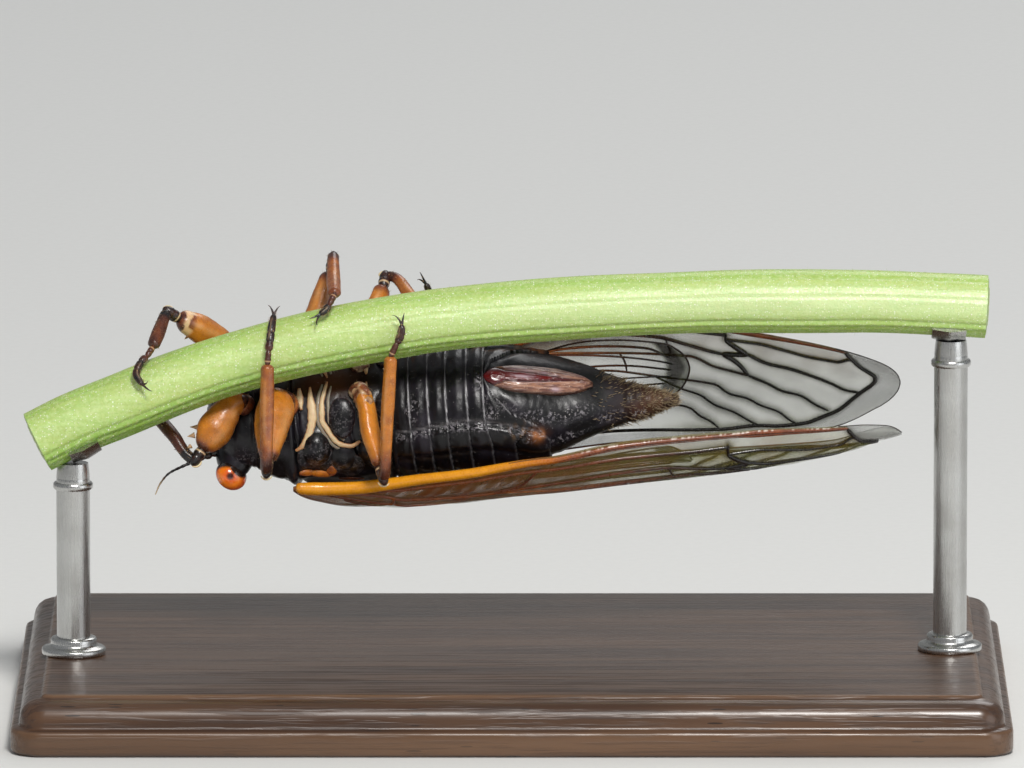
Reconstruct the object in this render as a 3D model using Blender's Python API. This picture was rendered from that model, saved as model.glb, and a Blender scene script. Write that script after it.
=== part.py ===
"""A periodical cicada, life size, clinging below a cut length of green stem on a display stand.

The insect is modelled in its own frame, in millimetres: x runs from the front of the head to
the tail, y towards its right side and z towards its back. One empty carries that frame into
the world. The stem and the stand are placed in the world, whose origin is the middle of the
underside of the stand's base. Every helper takes millimetres and writes metres.
"""
import math

import bmesh
import bpy
import numpy as np
from mathutils import Matrix, Vector
from mathutils.geometry import delaunay_2d_cdt

MM = 0.001
GAP = 0.3
MERGE = 0.00001

OBJECT_NAME = "periodical_cicada"

# The display stand and the stem
BASE_LENGTH = 52.0
BASE_DEPTH = 32.0
BASE_HEIGHT = 3.0
# The moulded edge from the floor up: how far each step stands in, and its height
BASE_STEPS = (
    (0.3, 0.0), (0.0, 0.22), (0.0, 1.15), (0.34, 1.4), (0.46, 1.85), (0.7, 2.42), (1.5, 2.78),
    (1.62, 2.92), (1.95, BASE_HEIGHT),
)
BASE_CORNER = 1.6
CORNER_TAPER = 0.6
CORNER_LEAST = 0.35
CORNER_POINTS = 5
ROD_RADIUS = 0.9
ROD_SIDES = 20
ROD_REACH = 23.0
STEM_RADIUS = 1.65
STEM_SIDES = 14
STEM_LINE = (
    (-24.85, -3.05, 14.3), (-23.0, -2.88, 15.2), (-20.6, -2.74, 16.15), (-17.6, -2.52, 17.35),
    (-14.85, -2.36, 18.28), (-11.15, -2.18, 19.27), (-7.5, -2.06, 20.0), (-3.4, -1.94, 20.65),
    (1.5, -1.86, 21.11), (7.0, -1.81, 21.42), (12.5, -1.78, 21.57), (18.0, -1.78, 21.57),
    (23.0, -1.81, 21.39), (24.85, -1.83, 21.29),
)

# How the insect hangs: head to -X, belly towards the stem and a little towards -Y
HEAD_FRONT = (-15.9, 1.67, 14.64)
ROLL_ANGLE = math.radians(-135.0)
TAIL_LIFT = math.radians(1.0)

# The body as one smooth surface: x, half width, top and bottom
BODY_STATIONS = (
    (0.0, 0.45, 0.2, -1.1),
    (0.3, 1.45, 0.9, -1.8),
    (0.8, 2.3, 1.45, -2.3),
    (1.4, 2.85, 1.85, -2.55),
    (2.2, 3.15, 2.1, -2.65),
    (3.0, 3.5, 2.6, -2.8),
    (4.0, 3.85, 3.0, -3.05),
    (4.6, 3.95, 3.2, -3.2),
    (5.2, 3.72, 3.35, -3.3),
    (6.5, 3.65, 3.75, -3.42),
    (8.0, 3.65, 3.7, -3.5),
    (9.2, 3.6, 3.2, -3.55),
    (10.0, 3.62, 2.9, -3.65),
    (12.0, 3.66, 2.95, -3.72),
    (14.0, 3.6, 2.9, -3.7),
    (16.0, 3.42, 2.65, -3.45),
    (17.4, 3.18, 2.2, -3.15),
    (18.4, 2.8, 1.65, -2.95),
    (19.8, 2.15, 0.9, -2.75),
    (21.05, 1.55, 0.5, -2.35),
    (22.9, 0.87, 0.0, -1.75),
    (24.0, 0.45, -0.5, -1.5),
    (24.6, 0.2, -0.85, -1.3),
)
BODY_SIDES = 26
BACK_TAPER = 0.3

# Where the body divides: x on the middle height, and how far the joint leans back per height
NECK = (2.3, 0.05)
COLLAR = (4.5, 0.12)
WAIST = (7.6, 0.5)
BELLY_START = (9.6, 0.1)
PYGOFER_START = (17.3, 0.45)
TAIL_START = (21.9, 0.1)
SEGMENT_ENDS = (10.6, 11.6, 12.6, 13.7, 14.7, 15.9)
SEGMENT_STEP = 0.035

EYE_CENTRE = (1.1, 3.25, 0.45)
EYE_RADII = (0.84, 0.8, 0.7)

# The sheath of the egg-laying blade along the belly: x, height of its middle, half width
SHEATH_STATIONS = (
    (14.4, -3.5, 0.15),
    (15.0, -3.42, 0.62),
    (16.4, -3.22, 0.87),
    (18.0, -2.95, 0.85),
    (19.3, -2.72, 0.6),
    (20.2, -2.6, 0.15),
)
SHEATH_DEPTH = 0.75
SHEATH_RINGS = 11
SHEATH_SIDES = 14

# The roof that each forewing forms: x, edge on the side, edge on the back, outward bulge
WING_STATIONS = (
    (4.3, 4.5, -0.35, 4.42, 0.35, 0.0),
    (4.9, 4.5, -0.1, 4.35, 0.95, 0.0),
    (6.0, 4.48, 0.03, 4.15, 1.75, 0.05),
    (7.5, 4.52, -0.1, 3.55, 2.9, 0.25),
    (9.0, 4.58, -0.5, 2.1, 4.2, 0.8),
    (10.4, 4.62, -0.95, 0.42, 4.87, 1.5),
    (13.95, 4.8, -1.9, 0.4, 4.7, 1.5),
    (17.4, 4.8, -2.85, 0.4, 4.1, 1.64),
    (21.6, 4.2, -3.35, 0.4, 3.3, 1.85),
    (25.8, 3.52, -3.01, 0.4, 2.95, 1.75),
    (29.8, 2.96, -2.53, 0.4, 2.65, 1.42),
    (32.6, 2.57, -2.05, 0.42, 2.3, 1.05),
    (35.2, 2.01, -1.45, 0.6, 0.86, 0.75),
    (36.6, 1.65, -0.75, 0.95, 0.15, 0.3),
)
WING_THICKNESS = 0.5
WING_SPREAD = 10.0
VEIN_RISE = 0.14
VEIN_WIDTH = 0.34
VEIN_SPACING = 2.0
COSTA_RISE = 0.2
HINDWING_INSET = 0.84

# Main veins of the forewing: x and the fraction of the way from the side edge to the back edge
FOREWING_VEINS = (
    ((5.6, 0.12), (9.0, 0.11), (13.0, 0.1), (17.2, 0.1), (21.6, 0.12), (25.3, 0.13), (27.3, 0.12)),
    ((27.3, 0.12), (27.3, 0.2), (28.3, 0.34), (29.4, 0.42), (30.7, 0.45), (32.0, 0.51), (33.9, 0.69)),
    ((27.3, 0.2), (28.8, 0.18), (30.3, 0.22), (31.8, 0.26), (33.1, 0.26), (34.0, 0.17)),
    ((17.2, 0.1), (16.2, 0.25), (14.8, 0.31)),
    ((9.6, 0.24), (12.5, 0.29), (14.8, 0.31), (19.0, 0.26), (23.6, 0.26), (26.6, 0.36), (27.2, 0.37)),
    ((27.2, 0.37), (27.6, 0.42), (28.4, 0.56), (29.4, 0.62), (31.1, 0.72), (32.4, 0.84)),
    ((14.8, 0.31), (18.0, 0.4), (21.5, 0.43), (25.3, 0.42), (26.6, 0.5), (28.4, 0.56)),
    ((9.5, 0.38), (11.5, 0.5), (13.6, 0.58), (17.0, 0.57), (20.5, 0.56), (23.4, 0.6), (26.6, 0.65)),
    ((26.6, 0.65), (28.3, 0.75), (30.2, 0.87)),
    ((23.4, 0.6), (25.2, 0.71), (26.6, 0.8), (28.2, 0.9)),
    ((13.6, 0.58), (15.6, 0.7), (18.5, 0.77), (21.8, 0.78), (24.6, 0.8), (26.2, 0.9)),
    ((5.9, 0.3), (7.6, 0.2), (9.6, 0.24), (9.5, 0.38), (7.4, 0.42), (5.9, 0.3)),
    ((7.0, 0.55), (9.4, 0.72), (12.5, 0.84), (16.0, 0.91), (20.5, 0.92)),
    ((33.8, 0.06), (34.4, 0.3), (35.0, 0.47), (34.6, 0.67), (33.4, 0.83), (31.3, 0.92), (27.0, 0.93),
     (23.5, 0.93), (20.5, 0.92), (18.5, 0.77)),
)
COSTA_WIDTH = 0.56
COSTA_LINE = (
    (4.7, 0.3), (5.4, 0.08), (9.0, 0.04), (14.0, 0.035), (19.0, 0.035), (26.0, 0.04), (31.0, 0.05),
    (33.8, 0.06),
)
FOREWING_OUTLINE = (
    (4.6, 0.0), (7.0, 0.0), (10.0, 0.0), (14.0, 0.0), (18.0, 0.0), (22.0, 0.0), (26.0, 0.0),
    (30.0, 0.0), (33.0, 0.0), (35.2, 0.02), (35.95, 0.06), (36.3, 0.3), (36.35, 0.6), (36.15, 0.86),
    (35.4, 0.97), (33.0, 1.0), (30.0, 1.0), (26.0, 1.0), (22.0, 1.0), (18.0, 1.0), (14.0, 1.0),
    (11.0, 1.0), (9.0, 1.0), (7.5, 1.0), (6.0, 1.0), (5.0, 0.95), (4.5, 0.85), (4.35, 0.45),
)
HINDWING_VEINS = (
    ((8.9, 0.52), (12.0, 0.42), (18.0, 0.3), (23.0, 0.26), (24.5, 0.36)),
    ((9.2, 0.58), (14.0, 0.54), (19.0, 0.48), (24.6, 0.49)),
    ((9.5, 0.66), (14.0, 0.71), (19.5, 0.7), (24.2, 0.63)),
)
HINDWING_OUTLINE = (
    (8.3, 0.52), (9.5, 0.43), (12.0, 0.38), (16.0, 0.35), (20.0, 0.23), (23.4, 0.16), (24.6, 0.22),
    (25.2, 0.37), (25.2, 0.53), (24.6, 0.69), (22.5, 0.83), (19.0, 0.87), (15.0, 0.87),
    (12.0, 0.85), (10.0, 0.74), (8.8, 0.6),
)

# Legs of the right and the left side, each a path of x, y, z and radius for every limb
LEGS = {
    "leg_fore_right": {
        "femur": ((2.1, 1.3, -2.4, 0.6), (1.75, 1.0, -2.9, 0.62), (1.3, 1.2, -3.08, 0.64),
                  (0.8, 1.75, -2.85, 0.84), (0.3, 2.4, -2.5, 0.97), (0.0, 2.85, -2.3, 0.8),
                  (-0.4, 3.35, -2.0, 0.55)),
        "tibia": ((-0.75, 3.85, -1.78, 0.3), (-1.2, 3.48, -1.9, 0.31), (-1.84, 2.51, -2.15, 0.31),
                  (-3.0, 0.95, -2.26, 0.27)),
        "tarsus": ((-3.2, 0.38, -2.42, 0.22), (-3.32, 0.0, -2.7, 0.23), (-3.37, -0.52, -3.25, 0.18)),
        "claws": ((-3.63, -0.78, -3.7), (-3.12, -0.82, -3.66)),
        "spikes": (((-0.5, 2.1, -2.35), (-1.2, 2.05, -2.35), 0.2),
                   ((-0.75, 2.5, -2.2), (-1.3, 2.6, -2.2), 0.18),
                   ((-0.95, 3.05, -2.0), (-1.35, 3.35, -2.0), 0.14)),
    },
    "leg_fore_left": {
        "femur": ((2.6, -1.3, -2.3, 0.55), (1.6, -1.2, -2.6, 0.55), (1.3, -1.9, -2.85, 0.55),
                  (0.7, -2.45, -3.6, 0.72), (-0.3, -2.51, -4.65, 0.78), (-1.1, -2.52, -5.4, 0.62),
                  (-1.55, -2.52, -5.78, 0.48)),
        "tibia": ((-2.05, -2.65, -6.25, 0.3), (-2.22, -2.15, -6.35, 0.31), (-2.5, -1.18, -6.44, 0.31),
                  (-2.82, -0.1, -6.57, 0.27)),
        "tarsus": ((-3.1, 0.45, -6.6, 0.22), (-3.42, 0.84, -6.61, 0.23), (-3.68, 1.64, -6.66, 0.22),
                   (-3.35, 2.32, -6.62, 0.18)),
        "claws": ((-3.05, 2.2, -6.85), (-2.82, 2.7, -6.6)),
        "spikes": (((-0.9, -2.2, -4.7), (-1.35, -1.75, -4.75), 0.17),),
    },
    "leg_mid_right": {
        "femur": ((4.3, 1.4, -2.6, 0.85), (4.0, 1.4, -3.3, 0.92), (3.5, 2.15, -3.68, 1.06),
                  (3.28, 3.31, -3.72, 0.95), (3.18, 4.4, -3.64, 0.68), (3.12, 5.2, -3.55, 0.46)),
        "tibia": ((3.04, 5.9, -3.5, 0.32), (3.05, 5.78, -4.15, 0.33), (3.11, 3.69, -5.6, 0.33),
                  (3.2, 1.62, -7.34, 0.28)),
        "tarsus": ((3.26, 1.13, -7.72, 0.23), (3.36, 0.5, -7.98, 0.24), (3.45, -0.2, -8.1, 0.23),
                   (3.56, -0.95, -8.17, 0.18)),
        "claws": ((3.25, -1.4, -8.4), (3.9, -1.35, -8.35)),
        "spikes": (),
    },
    "leg_mid_left": {
        "femur": ((4.9, -1.3, -2.6, 0.6), (4.95, -1.4, -3.35, 0.62), (5.3, -2.4, -4.0, 0.66),
                  (5.79, -3.57, -4.58, 0.62), (6.25, -4.8, -5.15, 0.54), (6.52, -5.55, -5.5, 0.44)),
        "tibia": ((6.65, -6.25, -5.85, 0.3), (6.66, -5.9, -6.3, 0.31), (6.68, -3.84, -7.2, 0.32),
                  (6.74, -1.9, -8.52, 0.28)),
        "tarsus": ((6.5, -1.33, -8.5, 0.23), (6.3, -1.05, -8.42, 0.23), (5.95, -0.75, -8.36, 0.18)),
        "claws": ((5.4, -0.5, -8.42), (5.85, -0.05, -8.4)),
        "spikes": (),
    },
    "leg_hind_right": {
        "femur": ((7.9, 0.9, -3.0, 0.55), (7.95, 0.85, -3.75, 0.56), (8.3, 1.9, -3.55, 0.55),
                  (8.47, 3.1, -3.2, 0.58), (8.8, 4.3, -2.74, 0.48), (8.97, 4.95, -2.48, 0.42)),
        "tibia": ((9.15, 5.62, -2.28, 0.3), (9.22, 5.4, -2.87, 0.31), (9.42, 3.17, -5.1, 0.31),
                  (9.65, 1.15, -7.2, 0.28)),
        "tarsus": ((9.95, 0.72, -7.66, 0.23), (10.2, 0.35, -8.03, 0.24), (10.26, -0.05, -8.35, 0.18)),
        "claws": ((9.75, -0.45, -8.6), (10.4, -0.6, -8.62)),
        "spikes": (((9.6, 1.7, -6.65), (9.05, 1.6, -6.8), 0.14), ((9.6, 2.4, -5.9), (9.1, 2.35, -6.1), 0.14)),
    },
    "leg_hind_left": {
        "femur": ((7.9, -0.9, -3.0, 0.55), (7.95, -0.95, -3.7, 0.55), (8.3, -2.2, -3.7, 0.55),
                  (8.58, -3.64, -3.6, 0.56), (9.05, -5.3, -3.5, 0.46), (9.25, -6.0, -3.45, 0.42)),
        "tibia": ((9.35, -6.72, -3.4, 0.3), (9.88, -6.45, -3.55, 0.31), (10.65, -5.0, -3.95, 0.31),
                  (12.15, -3.0, -4.2, 0.28)),
        "tarsus": ((12.1, -3.2, -4.75, 0.23), (11.9, -3.55, -5.3, 0.24), (11.5, -4.1, -6.3, 0.18)),
        "claws": ((11.05, -4.0, -6.75), (11.2, -4.45, -6.85)),
        "spikes": (((11.3, -4.0, -4.1), (11.5, -4.4, -4.5), 0.14),),
    },
}
CLAW_RADIUS = 0.14
SPIKE_TIP = 0.05
FEMUR_SPACING = 0.65
TIBIA_SPACING = 1.1
FOOT_SPACING = 0.55

ANTENNA_PATH = (
    (0.3, 1.95, 0.1, 0.26), (-0.4, 2.35, 0.05, 0.25), (-1.1, 2.8, -0.05, 0.22),
    (-2.1, 3.33, 0.0, 0.16), (-2.65, 3.75, 0.45, 0.1), (-2.9, 4.02, 1.0, 0.06),
)
BEAK_PATH = (
    (1.6, 0.0, -3.12, 0.24), (2.4, 0.0, -3.25, 0.26), (3.2, 0.0, -3.35, 0.22), (3.7, 0.0, -3.4, 0.12),
)

# Forms raised on the head and on the rear of the thorax: centre and radii
FACE_BULGE = ((0.95, 0.0, -1.35), (1.0, 0.9, 1.25))
BREAST_PLATE = ((7.25, 2.1, -2.7), (0.6, 1.0, 0.5))


def remove_old_objects():
    """Empty the scene of objects."""
    for item in list(bpy.data.objects):
        bpy.data.objects.remove(item, do_unlink=True)


def make_collection(name):
    """Add a collection to the scene."""
    group = bpy.data.collections.new(name)
    bpy.context.scene.collection.children.link(group)
    return group


def make_material(name, colour, roughness, metallic=0.0):
    """A plain Principled material."""
    material = bpy.data.materials.new(name)
    material.use_nodes = True
    shader = material.node_tree.nodes["Principled BSDF"]
    shader.inputs["Base Color"].default_value = (*colour, 1.0)
    shader.inputs["Roughness"].default_value = roughness
    shader.inputs["Metallic"].default_value = metallic
    material.diffuse_color = (*colour, 1.0)
    return material


def add_object(name, mesh, group, material=None, carrier=None):
    """Put a mesh in the scene, smooth shaded, under the empty that carries it."""
    part = bpy.data.objects.new(name, mesh)
    group.objects.link(part)
    part.parent = carrier
    if material:
        mesh.materials.clear()
        mesh.materials.append(material)
        mesh.shade_smooth()
        mesh.set_sharp_from_angle(angle=math.radians(40.0))
    return part


def add_cutter(name, mesh, group, carrier=None):
    """A hidden object that only cuts or joins others."""
    cutter = add_object(name, mesh, group, carrier=carrier)
    cutter.hide_render = True
    cutter.display_type = "WIRE"
    return cutter


def row_slope(rows, index, column):
    """Slope of one column of a table at one of its rows, flat at a high or low point."""
    if index == 0:
        return (rows[1][column] - rows[0][column]) / (rows[1][0] - rows[0][0])
    if index == len(rows) - 1:
        return (rows[-1][column] - rows[-2][column]) / (rows[-1][0] - rows[-2][0])
    before = (rows[index][column] - rows[index - 1][column]) / (rows[index][0] - rows[index - 1][0])
    after = (rows[index + 1][column] - rows[index][column]) / (rows[index + 1][0] - rows[index][0])
    if before * after <= 0.0:
        return 0.0
    return 2.0 * before * after / (before + after)


def read_rows(rows, x):
    """Read a table of stations at x, smoothly between its rows."""
    x = min(max(x, rows[0][0]), rows[-1][0])
    index = 0
    while index < len(rows) - 2 and rows[index + 1][0] < x:
        index += 1
    span = rows[index + 1][0] - rows[index][0]
    u = (x - rows[index][0]) / span
    values = []
    for column in range(1, len(rows[0])):
        start = rows[index][column]
        end = rows[index + 1][column]
        start_slope = row_slope(rows, index, column) * span
        end_slope = row_slope(rows, index + 1, column) * span
        blend = u * u * (3.0 - 2.0 * u)
        value = start + (end - start) * blend
        value += start_slope * u * (1.0 - u) ** 2 - end_slope * u * u * (1.0 - u)
        values.append(value)
    return values


def route_rows(points):
    """Table of a route's points by the length along it."""
    rows = []
    length = 0.0
    for index, point in enumerate(points):
        if index:
            length += math.dist(points[index - 1][:3], point[:3])
        rows.append((length, *point))
    return rows


def smooth_route(points, spacing):
    """Points at an even spacing along a smooth line through the route's own points."""
    rows = route_rows(points)
    count = max(2, math.ceil(rows[-1][0] / spacing) + 1)
    return [read_rows(rows, length) for length in np.linspace(0.0, rows[-1][0], count)]


def loft(name, rings):
    """A closed mesh through rings of points, with flat ends."""
    shape = bmesh.new()
    rows = []
    for ring in rings:
        rows.append([shape.verts.new(point * MM) for point in ring])
    for row, following in zip(rows, rows[1:]):
        for index in range(len(row)):
            after = (index + 1) % len(row)
            shape.faces.new((row[index], row[after], following[after], following[index]))
    shape.faces.new(rows[0])
    shape.faces.new(rows[-1])
    bmesh.ops.recalc_face_normals(shape, faces=shape.faces)
    mesh = bpy.data.meshes.new(name)
    shape.to_mesh(mesh)
    shape.free()
    return mesh


def body_point(x, angle, spread, scale):
    """A point of the body's surface, moved out by the spread and scaled about its middle."""
    half_width, top, bottom = read_rows(BODY_STATIONS, x)
    up = math.sin(angle)
    width = (half_width * (1.0 - BACK_TAPER * max(up, 0.0)) + spread) * scale
    height = ((top - bottom) / 2.0 + spread) * scale
    return Vector((x, width * math.cos(angle), (top + bottom) / 2.0 + height * up))


def body_ring(joint, spread=0.0, scale=1.0):
    """A ring of the body's surface in a plane that leans back with the height."""
    place, lean = joint
    ring = []
    for index in range(BODY_SIDES):
        angle = math.tau * index / BODY_SIDES
        point = body_point(place, angle, spread, scale)
        for _ in range(2):
            point = body_point(place + lean * point.z, angle, spread, scale)
        point.x = place + lean * point.z
        ring.append(point)
    return ring


def between(front, rear, share):
    """A joint on the way from one joint to another."""
    return tuple(a + (b - a) * share for a, b in zip(front, rear))


def behind(joint):
    """The face that the next piece turns to a joint, one gap behind it."""
    return (joint[0] + GAP, joint[1])


def body_section(name, front, rear, count, spread=0.0):
    """A closed length of the body between two joints."""
    rings = [body_ring(between(front, rear, share), spread) for share in np.linspace(0.0, 1.0, count)]
    return loft(name, rings)


def belly_section(name, front, rear):
    """The abdomen, whose segments each stand a step above the next one's front."""
    rings = [body_ring(front)]
    start = front[0]
    for end in (*SEGMENT_ENDS, rear[0]):
        lean = between(front, rear, (end - front[0]) / (rear[0] - front[0]))[1]
        if start > front[0]:
            rings.append(body_ring((start + 0.08, lean), scale=1.0 - SEGMENT_STEP))
        rings.append(body_ring(((start + end) / 2.0, lean), scale=1.0 - SEGMENT_STEP / 3.0))
        rings.append(body_ring((end, lean)))
        start = end
    return loft(name, rings)


def ball(name, centre, radii, tilt=0.0, segments=14, rings=9):
    """An ellipsoid, turned about its y axis by the tilt."""
    bpy.ops.mesh.primitive_uv_sphere_add(segments=segments, ring_count=rings, radius=MM)
    sphere = bpy.context.object
    mesh = sphere.data
    mesh.name = name
    place = Matrix.Translation(Vector(centre) * MM) @ Matrix.Rotation(tilt, 4, "Y")
    mesh.transform(place @ Matrix.Diagonal((*radii, 1.0)))
    bpy.data.objects.remove(sphere)
    return mesh


def tube(name, path, resolution=2):
    """A mesh of a round tube through a path of x, y, z and radius."""
    curve = bpy.data.curves.new(name, "CURVE")
    curve.dimensions = "3D"
    curve.bevel_depth = MM
    curve.bevel_resolution = resolution
    curve.use_fill_caps = True
    line = curve.splines.new("POLY")
    line.points.add(len(path) - 1)
    for point, (x, y, z, radius) in zip(line.points, path):
        point.co = (x * MM, y * MM, z * MM, 1.0)
        point.radius = radius
    wire = bpy.data.objects.new(name, curve)
    bpy.context.scene.collection.objects.link(wire)
    graph = bpy.context.evaluated_depsgraph_get()
    mesh = bpy.data.meshes.new_from_object(wire.evaluated_get(graph))
    bpy.data.objects.remove(wire)
    shape = bmesh.new()
    shape.from_mesh(mesh)
    bmesh.ops.remove_doubles(shape, verts=shape.verts, dist=MERGE)
    bmesh.ops.recalc_face_normals(shape, faces=shape.faces)
    shape.to_mesh(mesh)
    shape.free()
    return mesh


def limb_path(points, spacing):
    """A smooth limb through points of x, y, z and radius, with rounded ends."""
    rows = route_rows(points)
    total = rows[-1][0]
    start_radius = points[0][3]
    end_radius = points[-1][3]
    inner = np.arange(start_radius, total - end_radius, spacing)
    lengths = [0.0, 0.2 * start_radius, 0.55 * start_radius, *inner]
    lengths += [total - 0.55 * end_radius, total - 0.2 * end_radius, total]
    path = []
    for length in lengths:
        x, y, z, radius = read_rows(rows, length)
        nearness = min(1.0, length / start_radius, (total - length) / end_radius)
        rounding = math.sqrt(1.0 - (1.0 - nearness) ** 2)
        path.append((x, y, z, radius * max(rounding, 0.3)))
    return path


def spike(name, root, tip, radius):
    """A short thorn from its root to its tip."""
    middle = [(a + b) / 2.0 for a, b in zip(root, tip)]
    return tube(name, ((*root, radius), (*middle, radius * 0.65), (*tip, SPIKE_TIP)), 1)


def claw(name, root, tip, bend):
    """A hooked claw from the end of a foot to its tip."""
    middle = [(a + b) / 2.0 + c for a, b, c in zip(root, tip, bend)]
    path = ((*root, CLAW_RADIUS), (*middle, CLAW_RADIUS * 0.8), (*tip, SPIKE_TIP))
    return tube(name, [tuple(point) for point in smooth_route(path, 0.4)], 1)


def largest_shell(mesh):
    """Keep only the largest closed surface of a mesh."""
    shape = bmesh.new()
    shape.from_mesh(mesh)
    left = set(shape.verts)
    shells = []
    while left:
        shell = set()
        front = [left.pop()]
        while front:
            vertex = front.pop()
            shell.add(vertex)
            for edge in vertex.link_edges:
                other = edge.other_vert(vertex)
                if other in left:
                    left.remove(other)
                    front.append(other)
        shells.append(shell)
    shells.sort(key=len)
    for shell in shells[:-1]:
        bmesh.ops.delete(shape, geom=list(shell), context="VERTS")
    shape.to_mesh(mesh)
    shape.free()


def combined_mesh(part, cutters, operation, solver):
    """The part's mesh after its Boolean cuts or joins."""
    for cutter in cutters:
        boolean = part.modifiers.new(cutter.name, "BOOLEAN")
        boolean.operation = operation
        boolean.object = cutter
        boolean.solver = solver
    bpy.context.view_layer.update()
    graph = bpy.context.evaluated_depsgraph_get()
    mesh = bpy.data.meshes.new_from_object(part.evaluated_get(graph))
    part.modifiers.clear()
    return mesh


def combine(part, cutters, operation):
    """Join pieces to a part, or cut them from it, and keep the result as its mesh."""
    mesh = combined_mesh(part, cutters, operation, "EXACT")
    if not mesh.polygons:
        mesh = combined_mesh(part, cutters, operation, "MANIFOLD")
    largest_shell(mesh)
    mesh.name = part.data.name
    part.data = mesh


def wing_place(x, share, side, inset):
    """A point of a wing's middle surface, and the way that its outer face looks."""
    edge_y, edge_z, back_y, back_z, bulge = read_rows(WING_STATIONS, x)
    edge = Vector((edge_y, edge_z))
    chord = Vector((back_y, back_z)) - edge
    outward = Vector((chord.y, -chord.x)).normalized()
    place = edge + chord * share + outward * (bulge * 4.0 * share * (1.0 - share))
    slope = chord + outward * (bulge * 4.0 * (1.0 - 2.0 * share))
    facing = Vector((slope.y, -slope.x)).normalized()
    place -= facing * inset
    return Vector((x, place.x * side, place.y)), Vector((0.0, facing.x * side, facing.y))


def spread_out(points):
    """A route on the wing laid flat."""
    return [(x, share * WING_SPREAD) for x, share in points]


def distance_to_route(point, route):
    """Distance in the plane from a point to a route of short straight runs."""
    starts = np.array(route[:-1])
    runs = np.array(route[1:]) - starts
    offsets = np.array(point) - starts
    shares = np.clip((offsets * runs).sum(axis=1) / (runs * runs).sum(axis=1), 0.0, 1.0)
    return float(np.linalg.norm(offsets - runs * shares[:, None], axis=1).min())


def beside(route, offset):
    """The route moved sideways in its plane."""
    moved = []
    for index, point in enumerate(route):
        before = Vector(route[max(index - 1, 0)])
        after = Vector(route[min(index + 1, len(route) - 1)])
        along = (after - before).normalized()
        moved.append((point[0] - along.y * offset, point[1] + along.x * offset))
    return moved


def flat_wing(outline, ridges, spacing):
    """Triangles of a wing laid flat, with a line along each side and the crest of each ridge."""
    border = []
    corners = spread_out(outline)
    for start, end in zip(corners, corners[1:] + corners[:1]):
        count = max(1, round(math.dist(start, end) / spacing))
        border += [between(start, end, step / count) for step in range(count)]
    points = list(border)
    edges = []
    for route, width, _ in ridges:
        for line in (route, beside(route, width / 2.0), beside(route, -width / 2.0)):
            first = len(points)
            points += line
            edges += [(first + step, first + step + 1) for step in range(len(line) - 1)]
    ring = border + border[:1]
    ends = [corner[0] for corner in corners]
    for x in np.arange(min(ends) + spacing, max(ends), spacing):
        for y in np.arange(spacing, WING_SPREAD, spacing):
            clear = min(distance_to_route((x, y), route) for route, _, _ in ridges)
            if clear > spacing / 2.0 and distance_to_route((x, y), ring) > spacing / 2.0:
                points.append((x, y))
    vectors = [Vector(point) for point in points]
    flat = delaunay_2d_cdt(vectors, edges, [list(range(len(border)))], 1, MERGE / MM)
    return flat[0], flat[2]


def wing(name, side, inset, outline, ridges, spacing):
    """A wing with its veins raised from the membrane, the same triangles on both faces."""
    flat_points, triangles = flat_wing(outline, ridges, spacing)
    shape = bmesh.new()
    outer = []
    inner = []
    for point in flat_points:
        rise = 0.0
        for route, width, height in ridges:
            rise = max(rise, height * (1.0 - distance_to_route(point, route) / (width / 2.0)))
        place, facing = wing_place(point.x, point.y / WING_SPREAD, side, inset)
        out = WING_THICKNESS / 2.0 + (rise if inset == 0.0 else 0.0)
        within = WING_THICKNESS / 2.0 + (rise if inset else 0.0)
        outer.append(shape.verts.new((place + facing * out) * MM))
        inner.append(shape.verts.new((place - facing * within) * MM))
    for a, b, c in triangles:
        shape.faces.new((outer[a], outer[b], outer[c]))
        shape.faces.new((inner[c], inner[b], inner[a]))
    rim = [edge for edge in shape.edges if edge.is_boundary and edge.verts[0] in set(outer)]
    partner = dict(zip(outer, inner))
    for edge in rim:
        start, end = edge.verts
        shape.faces.new((start, end, partner[end], partner[start]))
    loose = [vertex for vertex in shape.verts if not vertex.link_faces]
    bmesh.ops.delete(shape, geom=loose, context="VERTS")
    bmesh.ops.recalc_face_normals(shape, faces=shape.faces)
    mesh = bpy.data.meshes.new(name)
    shape.to_mesh(mesh)
    shape.free()
    return mesh


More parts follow.
